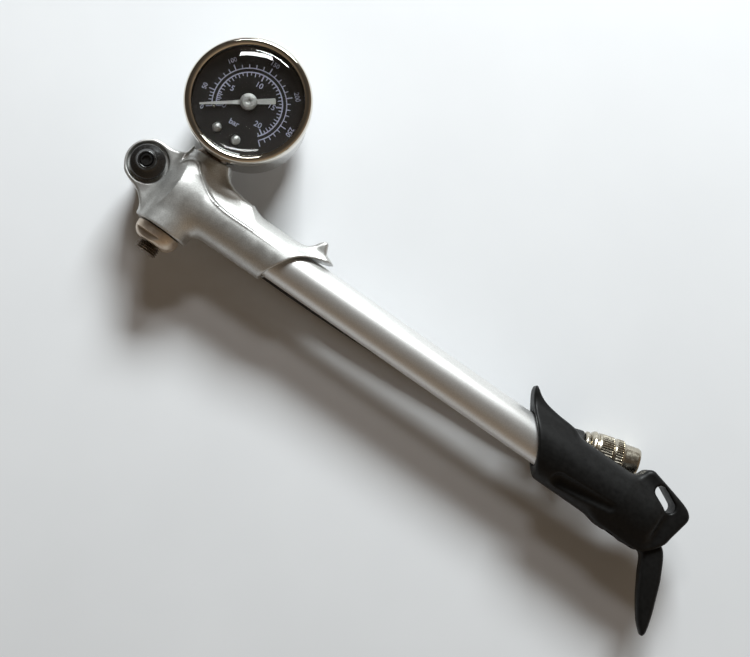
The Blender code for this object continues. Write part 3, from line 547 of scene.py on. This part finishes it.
class Finish:
    """A Principled material built up from procedural parts, in the piece's own coordinates."""

    def __init__(self, name, roughness, metallic, **sockets):
        self.material = bpy.data.materials.new(name)
        self.material.use_nodes = True
        self.nodes = self.material.node_tree.nodes
        self.links = self.material.node_tree.links
        self.shader = self.nodes["Principled BSDF"]
        self.shader.inputs["Roughness"].default_value = roughness
        self.shader.inputs["Metallic"].default_value = metallic
        for socket, value in sockets.items():
            self.shader.inputs[socket.replace("_", " ")].default_value = value
        self.place = self.nodes.new("ShaderNodeTexCoord").outputs["Object"]
        self.normal = None

    def scaled(self, stretch):
        """The coordinates, squeezed along an axis to draw a grain out."""
        mapping = self.nodes.new("ShaderNodeMapping")
        mapping.inputs["Scale"].default_value = stretch
        self.links.new(self.place, mapping.inputs["Vector"])
        return mapping.outputs["Vector"]

    def noise(self, size_mm, detail=3.0, rough=0.55, stretch=(1, 1, 1)):
        """Cloudy noise whose blobs are about size_mm across."""
        node = self.nodes.new("ShaderNodeTexNoise")
        node.inputs["Scale"].default_value = 1 / (size_mm * MM)
        node.inputs["Detail"].default_value = detail
        node.inputs["Roughness"].default_value = rough
        self.links.new(self.scaled(stretch), node.inputs["Vector"])
        return node.outputs["Fac"]

    def colour(self, factor, *stops):
        """A base colour that wanders between (position, colour) stops."""
        node = self.nodes.new("ShaderNodeValToRGB")
        fill_ramp(node, stops)
        self.links.new(factor, node.inputs["Fac"])
        self.links.new(node.outputs["Color"], self.shader.inputs["Base Color"])
        return self

    def gloss(self, factor, low, high):
        """Roughness that wanders between two values."""
        node = self.nodes.new("ShaderNodeMapRange")
        node.inputs["From Min"].default_value = NOISE_LOW
        node.inputs["From Max"].default_value = NOISE_HIGH
        node.inputs["To Min"].default_value = low
        node.inputs["To Max"].default_value = high
        self.links.new(factor, node.inputs["Value"])
        self.links.new(node.outputs["Result"], self.shader.inputs["Roughness"])
        return self

    def bump(self, factor, depth_mm, strength=1.0):
        """Adds a relief to what is already there."""
        node = self.nodes.new("ShaderNodeBump")
        node.inputs["Distance"].default_value = depth_mm * MM
        node.inputs["Strength"].default_value = strength
        self.links.new(factor, node.inputs["Height"])
        if self.normal:
            self.links.new(self.normal, node.inputs["Normal"])
        self.normal = node.outputs["Normal"]
        self.links.new(self.normal, self.shader.inputs["Normal"])
        return self


def cast_silver():
    finish = Finish("cast_silver_blasted", 0.45, 0.82, Coat_Weight=0.08, Coat_Roughness=0.3)
    finish.colour(finish.noise(0.4, 4.0), (0.3, (0.50, 0.50, 0.485)), (0.72, (0.69, 0.69, 0.67)))
    finish.gloss(finish.noise(3.0), 0.36, 0.47)
    return finish.bump(finish.noise(0.32, 2.0), 0.035, 0.55).bump(finish.noise(2.4, 2.0), 0.05, 0.4).material


def anodised():
    finish = Finish("anodised_satin", 0.4, 0.85)
    finish.colour(finish.noise(0.4, 3.0), (0.3, (0.72, 0.715, 0.70)), (0.75, (0.86, 0.855, 0.84)))
    finish.gloss(finish.noise(6.0, stretch=(0.15, 1, 1)), 0.38, 0.46)
    return finish.bump(finish.noise(0.28, 2.0), 0.02, 0.5).material


def chrome():
    finish = Finish("chrome_polished", 0.07, 1.0)
    finish.colour(finish.noise(9.0), (0.35, (0.72, 0.68, 0.60)), (0.7, (0.80, 0.76, 0.69)))
    finish.gloss(finish.noise(1.6, 5.0), 0.05, 0.12)
    return finish.bump(finish.noise(5.0), 0.02, 0.3).material


def satin_steel():
    finish = Finish("steel_satin", 0.28, 1.0)
    finish.colour(finish.noise(2.0, 4.0), (0.3, (0.535, 0.53, 0.515)), (0.7, (0.575, 0.57, 0.555)))
    finish.gloss(finish.noise(4.0), 0.235, 0.265)
    return finish.bump(finish.noise(6.0), 0.004, 0.2).material


def nickel():
    finish = Finish("nickel_bright", 0.2, 1.0)
    finish.colour(finish.noise(1.4, 4.0), (0.3, (0.45, 0.41, 0.33)), (0.7, (0.62, 0.57, 0.48)))
    finish.gloss(finish.noise(0.9, 4.0), 0.2, 0.32)
    return finish.bump(finish.noise(0.5), 0.01, 0.4).material


def cream_nickel():
    finish = Finish("nickel_cream", 0.33, 0.7)
    finish.colour(finish.noise(1.8, 4.0), (0.3, (0.60, 0.50, 0.40)), (0.7, (0.74, 0.65, 0.54)))
    finish.gloss(finish.noise(0.8, 4.0), 0.27, 0.40)
    return finish.bump(finish.noise(0.4), 0.012, 0.4).material


# Dark bronze: the parking stud's own dark finish, and painted shade on the gauge socket's neck, which lies in
# the gauge's shadow.
def dark_bronze():
    finish = Finish("dark_bronze", 0.34, 0.9)
    finish.colour(finish.noise(0.8, 5.0), (0.3, (0.10, 0.075, 0.055)), (0.72, (0.24, 0.19, 0.145)))
    finish.gloss(finish.noise(0.5, 4.0), 0.26, 0.45)
    return finish.bump(finish.noise(0.3), 0.01, 0.5).material


def brass():
    finish = Finish("brass_machined", 0.28, 1.0)
    finish.colour(finish.noise(1.5, 4.0), (0.3, (0.58, 0.40, 0.16)), (0.7, (0.76, 0.58, 0.28)))
    finish.gloss(finish.noise(0.5), 0.22, 0.36)
    return finish.bump(finish.noise(0.2), 0.006, 0.5).material


def nylon():
    finish = Finish("nylon_black", 0.5, 0.0, Specular_IOR_Level=0.22)
    finish.colour(finish.noise(1.2, 5.0), (0.3, (0.0035, 0.0035, 0.0035)), (0.75, (0.0085, 0.0083, 0.008)))
    finish.gloss(finish.noise(2.2, 4.0), 0.40, 0.54)
    return finish.bump(finish.noise(0.22, 2.0), 0.02, 0.5).bump(finish.noise(3.5), 0.05, 0.3).material


def gloss_black():
    finish = Finish("moulding_gloss_black", 0.2, 0.0, Coat_Weight=0.5, Coat_Roughness=0.08)
    finish.colour(finish.noise(1.0, 4.0), (0.3, (0.006, 0.006, 0.0065)), (0.75, (0.016, 0.015, 0.014)))
    finish.gloss(finish.noise(0.8, 5.0), 0.16, 0.3)
    return finish.bump(finish.noise(0.6), 0.012, 0.4).material


def rubber():
    finish = Finish("rubber_black", 0.6, 0.0, Specular_IOR_Level=0.35)
    finish.colour(finish.noise(0.9, 5.0), (0.3, (0.009, 0.009, 0.009)), (0.75, (0.024, 0.0235, 0.022)))
    finish.gloss(finish.noise(1.4, 4.0), 0.5, 0.68)
    return finish.bump(finish.noise(0.2), 0.02, 0.5).material


def dial_black():
    finish = Finish("dial_black_print", 0.5, 0.0, Specular_IOR_Level=0.3)
    finish.colour(finish.noise(3.0, 5.0), (0.3, (0.0085, 0.0082, 0.0088)), (0.75, (0.015, 0.0142, 0.0145)))
    finish.gloss(finish.noise(0.4, 4.0), 0.44, 0.56)
    return finish.bump(finish.noise(0.25), 0.004, 0.4).material


def print_blue():
    finish = Finish("print_pale_blue", 0.5, 0.0)
    finish.colour(finish.noise(0.35, 4.0), (0.25, (0.55, 0.57, 0.80)), (0.7, (0.78, 0.80, 0.98)))
    return finish.bump(finish.noise(0.15), 0.003, 0.4).material


def pointer_white():
    finish = Finish("pointer_silver_white", 0.38, 0.15)
    finish.colour(finish.noise(0.8, 4.0), (0.3, (0.72, 0.72, 0.69)), (0.7, (0.84, 0.84, 0.81)))
    finish.gloss(finish.noise(0.5), 0.32, 0.44)
    return finish.bump(finish.noise(0.2), 0.004, 0.4).material


def lens_glass():
    finish = Finish("lens_glass", 0.02, 0.0, IOR=1.49, Transmission_Weight=1.0,
                    Coat_Weight=1.0, Coat_Roughness=0.035)
    finish.colour(finish.noise(8.0), (0.3, (0.97, 0.985, 0.98)), (0.7, (1.0, 1.0, 1.0)))
    return finish.gloss(finish.noise(6.0, 3.0), 0.0, 0.012).material


# ---------------------------------------------------------------- head fittings

PLUG_DOME_R = ((-19.0, 4.9), (-18.6, 5.6), (-18.2, 6.2), (-17.6, 6.7), (-17.0, 7.1), (-16.3, 7.35),
               (-15.6, 7.5))
PLUG_FLAT_TILT_DEG = -20
PLUG_FLAT_FROM_MID = 5.5
STUD_CREST_R, THREAD_PITCH = 3.85, 0.794
HEX_SOCKET_R = 1.25                 # from the middle to a flat


def make_plug(material, dark):
    """The valve plug with its two wrench flats, and the threaded stud in it."""
    block = Block((7.2, -20.2, 8.6), (25.2, -4.6, 26.4), FINEST)
    up = block.z - AXIS_Z
    across = np.hypot(block.x - CROSS_X, up)
    ends = np.maximum(block.y + 13.95, PLUG_DOME_R[0][0] - block.y)
    ball = both(across - along_table(block.y, PLUG_DOME_R), ends, 0.4)
    tilt = math.radians(PLUG_FLAT_TILT_DEG)
    leaning = (block.x - CROSS_X) * math.sin(tilt) + up * math.cos(tilt)
    flats = both(PLUG_FLAT_FROM_MID - np.abs(leaning), block.y + 16.5, 0.15)
    body = cut(ball, flats, 0.2)
    body = join(body, rod(across, 3.75, block.y, -15, -5.2), 0.2)
    body = bored(body, rod(across, 2.1, block.y, -22, -9))
    add_piece("plug_body", block.mesh("plug_body", body), material, "pump_body", "nickel", "valve_plug")
    stud = threaded("stud_thread", 3.3, STUD_CREST_R, -22.3, -19.3, THREAD_PITCH, axis="Y",
                    at=(CROSS_X, 0, AXIS_Z))
    add_piece("stud_thread", stud, dark, "pump_body", "dark_nickel", "parking_stud")
    add_turned("stud_shank", [(0, -19.4), (1.9, -19.4), (1.9, -10), (0, -10)], 48, 0.25, dark, "pump_body",
               "dark_nickel", axis="Y", at=(CROSS_X, 0, AXIS_Z))


def make_barrel(material):
    """The drawn tube, with a fine turned chamfer at each end."""
    profile = [(5.5, 33.4), (6.5, 33.4), (BARREL_R, 33.7), (BARREL_R, 167.7), (6.5, 168), (5.5, 168)]
    add_turned("barrel_drawn", profile, 128, 0.12, material, "pump_body", "anodised_silver", "barrel_tube",
               axis="X", at=(0, 0, AXIS_Z))


def make_button(material):
    """The domed bleed button with its raised ring, and the screw with a hexagon socket in the middle."""
    profile = [(0, 19.4), (1.6, 19.4), (1.6, 22.25), (5.3, 22.25), (5.75, 22.6), (5.8, 23.3), (5.55, 23.8),
               (4.8, 24.3), (3.8, 24.95), (3.1, 25.6), (2.9, 26.3), (2.6, 26.5), (2.25, 26.4), (2.1, 25.35),
               (0, 25.35)]
    add_turned("button_cap", profile, 96, 0.3, material, "bleed_valve", "black_gloss", "bleed_button",
               at=(*LUG, 0))

    def socket(angle, radius, height):
        return hexagon_radius(angle, HEX_SOCKET_R) if abs(radius - HEX_SOCKET_R) < 1e-6 else radius

    profile = [(0, 25.65), (1.95, 25.65), (1.95, 26.5), (1.8, 26.7), (HEX_SOCKET_R, 26.7),
               (HEX_SOCKET_R, 25.95), (0, 25.95)]
    add_turned("button_socket_screw", profile, 48, 0.0, material, "bleed_valve", "dark_nickel",
               "button_screw", shape=socket, at=(*LUG, 0))


SPRING_R, SPRING_WIRE_R, SPRING_TURNS = 2.45, 0.3, 4
SPRING_LOW, SPRING_HIGH = 17.2, 21.4


def make_spring(material):
    """The bleed button's coil spring, drawn at one length with a mesh of its own; the real spring shortens as
    the button goes down.
    """
    count, around = 145, 12
    points = []
    for i in range(count):
        angle = math.tau * SPRING_TURNS * i / (count - 1)
        height = SPRING_LOW + (SPRING_HIGH - SPRING_LOW) * i / (count - 1)
        for side in range(around):
            turn = math.tau * side / around
            out = SPRING_R + SPRING_WIRE_R * math.cos(turn)
            along = height + SPRING_WIRE_R * math.sin(turn)
            points.append((out * math.cos(angle), out * math.sin(angle), along))
    faces = bands(count, around)
    faces += [tuple(range(around)), tuple(range((count - 1) * around, count * around))]
    mesh = outward(mesh_from("bleed_spring_coil", placed(points, at=(*LUG, 0)), faces, 50))
    spring = add_piece("bleed_spring_coil", mesh, material, "pump_body", "steel", "bleed_spring")
    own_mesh(spring)


# ---------------------------------------------------------------- gauge

ARC_OUTER, ARC_INNER = 11.6, 10.3
PRINT_CENTRE = (GAUGE[0] + 0.5, GAUGE[1] - 0.3)
TEXT_TURN_DEG = 7
PSI_MARKS = (0, 50, 100, 150, 200, 250, 300)
PSI_TURNS = (0, 25, 71, 124, 172, 216, 258)
PSI_IN_BAR = 14.504
PRINT_Z = (27.1, 27.16)
# Where a mark ends, and its width: the outer scale's marks, then the inner scale's
PSI_LONG, PSI_SHORT = (13.5, 0.32), (12.8, 0.26)
BAR_LONG, BAR_WHOLE, BAR_HALF = (8.3, 0.42), (8.9, 0.28), (9.3, 0.28)
BAR_NUMBERS = ((0, 7.8), (5, 7.3), (10, 6.8), (15, 6.9), (20, 6.9))      # (bar, distance from the centre)
STOP_PIN_R, STOP_PIN_PAST_ZERO_DEG = 10.9, 6
LENS_R, LENS_RIM_Z, LENS_RISE = 17.9, 30.2, 1.95
CAN = ((0, 8), (17.8, 8), (18.9, 9.1), (18.9, 24.6), (18.75, 24.9), (18.75, 25.4), (18.9, 25.7), (18.9, 29),
       (18.1, 29), (18.1, 9.6), (0, 9.6))
BEZEL = ((19.2, 27.2), (19.9, 27.2), (20.3, 27.5), (20.4, 28.1), (20.4, 30.7), (20.25, 31.6), (19.75, 32.25),
         (19.1, 32.5), (18.4, 32.35), (17.9, 31.95), (17.65, 31.4), (17.75, 31.1), (19.2, 31.2))
DIAL_SCREW = ((0, 24.2), (0.7, 24.2), (0.7, 27.3), (1.5, 27.3), (1.5, 27.65), (1.4, 27.95), (1.08, 28.22),
              (0.6, 28.42), (0.3, 28.48), (0, 28.5))
GAUGE_SOCKET = ((0, 5), (3.75, 5), (3.75, 12.6), (5.4, 12.7), (5.4, 14.9), (4.9, 15.2), (4.7, 15.6),
                (4.7, 16.8), (4.9, 17.2), (4.9, 22.2), (0, 22.2))
POINTER_HUB = ((0.65, 27.6), (2.2, 27.6), (2.65, 28.0), (2.75, 28.5), (2.55, 28.8), (2.1, 28.87),
               (1.95, 29.0), (1.1, 29.02), (0.75, 28.95), (0.5, 28.4))


def scale_deg(psi):
    """Where a pressure stands on the dial, from +X. The first marks are closer together, as printed."""
    return POINTER_ZERO_DEG - float(np.interp(psi, PSI_MARKS, PSI_TURNS))


def polar(radius, degrees):
    return np.array((PRINT_CENTRE[0] + radius * math.cos(math.radians(degrees)),
                     PRINT_CENTRE[1] + radius * math.sin(math.radians(degrees))))


def add_prism(bm, outline, low, high):
    """A closed plate in a bmesh, in millimetres."""
    bottom = [bm.verts.new((*p, low)) for p in outline]
    top = [bm.verts.new((*p, high)) for p in outline]
    bm.faces.new(list(reversed(bottom)))
    bm.faces.new(top)
    for i in range(len(outline)):
        after = (i + 1) % len(outline)
        bm.faces.new((bottom[i], bottom[after], top[after], top[i]))


def add_tick(bm, degrees, start, end, wide):
    """One radial mark."""
    inner, outer = polar(start, degrees), polar(end, degrees)
    aside = np.array((-math.sin(math.radians(degrees)), math.cos(math.radians(degrees)))) * wide / 2
    add_prism(bm, [inner - aside, outer - aside, outer + aside, inner + aside], *PRINT_Z)


def add_arc(bm, radius, wide, first_deg, last_deg):
    """One scale line, as short plates that meet."""
    steps = 86
    angles = [first_deg + (last_deg - first_deg) * i / steps for i in range(steps + 1)]
    inner = [polar(radius - wide / 2, a) for a in angles]
    outer = [polar(radius + wide / 2, a) for a in reversed(angles)]
    add_prism(bm, inner + outer, *PRINT_Z)


def add_label(bm, text, size, centre, turn_deg):
    """A printed number or unit, from Blender's own font."""
    curve = bpy.data.curves.new("label", "FONT")
    curve.body = text
    curve.size = size
    curve.align_x = "CENTER"
    curve.align_y = "CENTER"
    curve.extrude = (PRINT_Z[1] - PRINT_Z[0]) / 2
    curve.offset = 0.02
    curve.resolution_u = 4
    words = linked("label", curve)
    bpy.context.view_layer.update()
    flat = bpy.data.meshes.new_from_object(words.evaluated_get(bpy.context.evaluated_depsgraph_get()))
    place = Matrix.Translation((*centre, sum(PRINT_Z) / 2)) @ Matrix.Rotation(math.radians(turn_deg), 4, "Z")
    flat.transform(place)
    bm.from_mesh(flat)
    bpy.data.objects.remove(words)
    bpy.data.meshes.remove(flat)


def make_dial_print(material):
    """Two scales with their numbers, printed on the dial as plates a few hundredths of a millimetre high."""
    bm = bmesh.new()
    first, last = scale_deg(0), scale_deg(300)
    add_arc(bm, ARC_OUTER, 0.3, first, last)
    add_arc(bm, ARC_INNER, 0.38, first, last)
    for psi in range(0, 301, 10):
        end, wide = PSI_LONG if psi % 50 == 0 else PSI_SHORT
        add_tick(bm, scale_deg(psi), ARC_OUTER, end, wide)
    for half_bar in range(0, 42):
        end, wide = BAR_LONG if half_bar % 10 == 0 else BAR_WHOLE if half_bar % 2 == 0 else BAR_HALF
        add_tick(bm, scale_deg(half_bar / 2 * PSI_IN_BAR), end, ARC_INNER, wide)
    for psi in PSI_MARKS[1:-1]:
        add_label(bm, str(psi), 2.0, polar(14.9, scale_deg(psi)), scale_deg(psi) - 90)
    add_label(bm, "0", 1.9, polar(14.7, scale_deg(0) + 1), TEXT_TURN_DEG)
    for bar, out in BAR_NUMBERS:
        add_label(bm, str(bar), 2.5, polar(out, scale_deg(bar * PSI_IN_BAR)), TEXT_TURN_DEG)
    add_label(bm, "bar", 2.5, polar(7.5, 266), TEXT_TURN_DEG)
    add_piece("dial_print", mesh_from_plates("dial_print", bm), material, "pump_body", "dial_black")


def make_gauge(looks):
    """Case, rolled bezel, lens, dial, its two domed screws and stop pin, and the threaded socket."""
    centre = (*GAUGE, 0)
    add_turned("case_can", CAN, 128, 0.5, looks["satin_steel"], "pump_body", "steel", "gauge_can", at=centre)
    add_turned("bezel_ring", BEZEL, 160, 0.35, looks["chrome"], "pump_body", "chrome", "gauge_bezel",
               at=centre)
    angles = np.radians(range(66, -1, -2))
    dome = [(LENS_R * math.sin(a), LENS_RIM_Z + LENS_RISE * math.cos(a)) for a in angles]
    add_turned("lens_dome", [(0, 29.4), (18.8, 29.4), (18.8, 30.5), (17.5, 30.6), *dome], 192, 0.05,
               looks["lens_glass"], "pump_body", "clear_glass", "gauge_lens", at=centre)
    add_turned("dial_plate", [(1.0, 26.6), (17.8, 26.6), (17.8, 27.1), (1.0, 27.1)], 128, 0.08,
               looks["dial_black"], "pump_body", "dial_black", "gauge_dial", at=centre)
    make_dial_print(looks["print_blue"])
    for number, offset in ((1, -3.5), (2, 3.5)):
        add_turned(f"dial_screw_dome_{number}", DIAL_SCREW, 40, 0.08, looks["anodised"], "pump_body",
                   "chrome", f"dial_screw_{number}", at=(GAUGE[0] + offset, GAUGE[1] - 12, 0))
    turn = math.radians(POINTER_ZERO_DEG + STOP_PIN_PAST_ZERO_DEG)
    pin_at = (GAUGE[0] + STOP_PIN_R * math.cos(turn), GAUGE[1] + STOP_PIN_R * math.sin(turn), 0)
    add_turned("stop_pin_round", [(0, 26.2), (0.45, 26.2), (0.45, 28.4), (0, 28.4)], 32, 0.15,
               looks["chrome"], "pump_body", "chrome", "pointer_stop_pin", at=pin_at)
    # The socket neck is chrome; its dark bronze look is painted shade, because it lies in the gauge's shadow.
    add_turned("socket_neck", GAUGE_SOCKET, 96, 0.3, looks["dark_bronze"], "pump_body", "chrome",
               "gauge_socket", axis="Y", at=(CROSS_X, 0, AXIS_Z))


def make_pointer(material, hub_material):
    """A tapered needle with a broad tail, and a stepped hub with a dark centre hole."""
    bm = bmesh.new()
    along = np.array((math.cos(math.radians(POINTER_ZERO_DEG)), math.sin(math.radians(POINTER_ZERO_DEG))))
    aside = np.array((-along[1], along[0]))
    needle = [(-8.3, -0.95), (-8.5, -0.6), (-8.5, 0.6), (-8.3, 0.95), (-2.4, 0.75), (2.4, 0.7), (15.0, 0.3),
              (15.3, 0.1), (15.3, -0.1), (15.0, -0.3), (2.4, -0.7), (-2.4, -0.75)]
    add_prism(bm, [np.array(GAUGE) + along * a + aside * b for a, b in needle], 28.05, 28.32)
    mesh = mesh_from_plates("pointer_needle", bm)
    add_piece("pointer_needle", mesh, material, "gauge_pointer", "pointer_white", "pointer")
    add_turned("pointer_hub", POINTER_HUB, 64, 0.12, hub_material, "gauge_pointer", "pointer_white",
               at=(*GAUGE, 0))


# ---------------------------------------------------------------- hose

HOSE_ROUTE = ((20.4, -1.45, 3.6), (28.0, -2.3, 3.35), (37.0, -3.0, 3.05), (48.0, -3.5, 2.9),
              (60.0, -3.65, 2.9), (72.0, -3.55, 2.9), (84.0, -3.3, 2.9), (96.0, -2.9, 2.9),
              (108.0, -2.3, 2.95), (120.0, -1.4, 3.2), (130.0, -0.4, 3.7), (139.0, 0.9, 4.6),
              (147.0, 2.4, 5.4), (153.9, 3.95, 6.0), (159.75, 5.5, 6.3))
SWIVEL = ((2.65, 2.6), (4.7, 2.6), (4.7, 0.6), (5.4, 0.6), (5.95, 1.2), (6, 1.6), (6, 3.0), (5.8, 3.3),
          (5.8, 7.6), (6, 7.9), (6, 9.2), (5.4, 9.8), (2.65, 9.8))
FERRULE = ((0, 9.3), (3.1, 9.3), (3.3, 9.8), (3.3, 10.8), (3.22, 11.2), (3.22, 13.2), (3.28, 13.6),
           (3.22, 14.0), (3.22, 17.2), (3.3, 17.6), (3.3, 18.4), (3.1, 19), (0, 19))
BOOT = ((0, -18.6), (3.3, -18.6), (3.9, -18.0), (4.3, -16.6), (4.7, -14.6), (4.95, -12.6), (5.05, -11.2),
        (5.05, -9.7), (4.6, -9.2), (0, -9.2))
CORE = ((0, -8.9), (4.8, -8.9), (5.3, -8.4), (5.3, -7.6), (3.2, -7.3), (3.2, -3.6), (3.9, -3.3), (3.9, -2.2),
        (0, -2.2))
NUT = ((3.5, -7.0), (5.0, -7.0), (5.7, -6.6), (6.05, -6.0), (6.2, -5.4), (6.05, -5.0), (5.5, -4.85),
       (5.5, -4.4), (6.0, -4.2), (6.1, -3.6), (6.1, -3.3), (6.1, 0.5), (6.1, 0.75), (5.75, 1.0), (5.75, 1.6),
       (6.1, 1.85), (6.1, 2.0), (6.1, 4.0), (5.9, 4.5), (5.35, 4.9), (5.3, 5.2), (5.25, 9.6), (4.9, 10.4),
       (3.95, 10.4), (3.9, 1.0), (4.2, 0.6), (4.2, -3.9), (3.5, -4.2))
CRIMPS_ROUND, CRIMP_DEPTH = 8, 0.16
KNURLS_ROUND, KNURL_DEPTH = 44, 0.3


def make_hose(material):
    """The hose, from the swivel's ferrule to the boot of the connector."""
    points = [p * MM for p in smooth_outline(HOSE_ROUTE, 5, closed=False)]
    curve = bpy.data.curves.new("hose_line", "CURVE")
    curve.dimensions = "3D"
    curve.bevel_depth = HOSE_R * MM
    curve.bevel_resolution = 10
    curve.use_fill_caps = True
    line = curve.splines.new("POLY")
    line.points.add(len(points) - 1)
    for target, point in zip(line.points, points):
        target.co = (*point, 1.0)
    hose = linked("hose_line", curve)
    curve.materials.append(material)
    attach(hose, "hose_assembly")
    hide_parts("hose")


def make_hose_ends(looks):
    """Swivel block, crimped ferrule, boot, connector core and the knurled nut."""
    add_turned("swivel_block", SWIVEL, 96, 0.25, looks["nickel"], "hose_assembly", "nickel", "hose_swivel",
               at=(*LUG, 0))
    there = {"axis": "X", "at": (*LUG, STUB_Z), "turn_deg": FERRULE_TURN_DEG}
    add_turned("swivel_stub", [(0, 4.9), (3.1, 4.9), (3.1, 9.0), (0, 9.0)], 64, 0.3, looks["nickel"],
               "hose_assembly", "nickel", **there)

    def crimps(angle, radius, height):
        pressed = CRIMP_DEPTH * max(0.0, math.sin(CRIMPS_ROUND * angle)) if 11 < height < 17.5 else 0.0
        return radius - pressed

    ferrule = add_turned("ferrule_crimped", FERRULE, 64, 0.15, looks["nickel"], "hose_assembly", "nickel",
                         "hose_ferrule", shape=crimps, **there)
    there = {"axis": "X", "at": CONNECTOR, "turn_deg": CONNECTOR_TURN_DEG}
    boot = add_turned("boot_tapered", BOOT, 64, 0.4, looks["rubber"], "hose_assembly", "black_rubber",
                      "hose_boot", **there)
    core = add_turned("core_flanged", CORE, 64, 0.15, looks["nickel"], "hose_assembly", "nickel",
                      "connector_core", **there)

    def knurls(angle, radius, height):
        grooved = (-3.4 < height < 0.6 or 1.9 < height < 4.1) and radius > 5.6
        wave = (0.5 - 0.5 * math.cos(KNURLS_ROUND * angle)) ** 0.7
        return radius - KNURL_DEPTH * wave if grooved else radius

    nut = add_turned("nut_knurled", NUT, 264, 0.12, looks["nickel"], "connector_nut", "nickel",
                     "connector_nut", shape=knurls, sharp_deg=40, **there)
    return [ferrule, boot, core, nut]


# ---------------------------------------------------------------- other CAD nodes

NODE_LOOKS = {
    "satin_steel": ("check_valve_ball", "check_valve_spring", "piston_rod", "rod_pin", "lever_pin"),
    "brass": ("check_valve_seat", "bleed_stem", "bourdon_tube", "movement_plate", "sector_gear",
              "pointer_pinion", "piston", "valve_depressor"),
    "rubber": ("plug_seal", "barrel_washer", "rod_wiper", "bleed_stem_seal", "piston_ring", "stop_buffer",
               "swivel_o_ring_upper", "swivel_o_ring_lower", "connector_seal"),
    "nylon": ("barrel_end_cap",),
    "nickel": ("swivel_bolt",),
}


def dress_nodes(looks):
    """Gives the CAD nodes that stay their detailed materials."""
    for look, names in NODE_LOOKS.items():
        for name in names:
            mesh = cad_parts[name].data
            mesh.materials.clear()
            mesh.materials.append(looks[look])


# ---------------------------------------------------------------- stage

# Metres, watts and linear colours: name, place, aimed at, width, height, power, colour
LAMPS = (("window", (-0.22, 0.81, 0.585), (0.09, 0, 0.01), 0.42, 0.27, 15.3, (0.93, 0.985, 1.0)),
         ("pane", (-0.24, 0.44, 0.66), (0.017, 0.035, 0.03), 0.2, 0.075, 0.9, (1.0, 1.0, 1.0)))
FLOOR_HALF = 1.6
FLOOR_AT = (0.09, 0, -0.0001)
ROOM_TOWARD = (0.55, -0.35, -0.75)  # the direction in which the room is brightest
ROOM_STOPS = ((0.1, (0.055, 0.045, 0.035)), (0.3, (0.13, 0.10, 0.075)), (0.55, (0.24, 0.185, 0.13)),
              (0.85, (0.5, 0.37, 0.24)))
ROOM_STRENGTH = 0.86


def make_floor():
    """A plain pale floor."""
    mesh = bpy.data.meshes.new("floor")
    corners = [(x * FLOOR_HALF, y * FLOOR_HALF, 0) for x, y in ((-1, -1), (1, -1), (1, 1), (-1, 1))]
    mesh.from_pydata(corners, [], [(0, 1, 2, 3)])
    floor = linked("floor", mesh)
    floor.location = FLOOR_AT
    paper = Finish("paper_floor", 0.6, 0.0, Specular_IOR_Level=0.25)
    paper.colour(paper.noise(60.0), (0.3, (0.80, 0.81, 0.83)), (0.7, (0.83, 0.84, 0.86)))
    mesh.materials.append(paper.material)


def make_lamp(name, at, look_at, wide, high, power, colour):
    """A rectangular lamp aimed at a point."""
    data = bpy.data.lights.new(name, "AREA")
    data.shape = "RECTANGLE"
    data.size = wide
    data.size_y = high
    data.energy = power
    data.color = colour
    lamp = linked(name, data)
    lamp.location = at
    lamp.rotation_euler = (Vector(look_at) - Vector(at)).to_track_quat("-Z", "Y").to_euler()


def make_room():
    """A dim warm room all round, brighter to one side."""
    world = bpy.data.worlds.new("room")
    world.use_nodes = True
    bpy.context.scene.world = world
    nodes, links = world.node_tree.nodes, world.node_tree.links
    direction = nodes.new("ShaderNodeTexCoord").outputs["Generated"]
    toward = nodes.new("ShaderNodeVectorMath")
    toward.operation = "DOT_PRODUCT"
    toward.inputs[1].default_value = ROOM_TOWARD
    links.new(direction, toward.inputs[0])
    spread = nodes.new("ShaderNodeMapRange")
    spread.inputs["From Min"].default_value = -1.0
    links.new(toward.outputs["Value"], spread.inputs["Value"])
    ramp = nodes.new("ShaderNodeValToRGB")
    fill_ramp(ramp, ROOM_STOPS)
    links.new(spread.outputs["Result"], ramp.inputs["Fac"])
    links.new(ramp.outputs["Color"], nodes["Background"].inputs["Color"])
    nodes["Background"].inputs["Strength"].default_value = ROOM_STRENGTH


# ---------------------------------------------------------------- build

def main():
    looks = {make.__name__: make() for make in (
        cast_silver, anodised, chrome, satin_steel, nickel, cream_nickel, dark_bronze, brass, nylon,
        gloss_black, rubber, dial_black, print_blue, pointer_white, lens_glass)}
    make_camera()
    ends = make_hose_ends(looks)
    make_hose(looks["rubber"])
    make_head(looks["cast_silver"])
    make_plug(looks["cream_nickel"], looks["dark_bronze"])
    make_barrel(looks["anodised"])
    make_button(looks["gloss_black"])
    make_spring(looks["satin_steel"])
    make_gauge(looks)
    make_pointer(looks["pointer_white"], looks["anodised"])
    make_handle(looks["nylon"])
    make_lever(looks["nylon"])
    dress_nodes(looks)
    make_floor()
    for lamp in LAMPS:
        make_lamp(*lamp)
    make_room()


main()
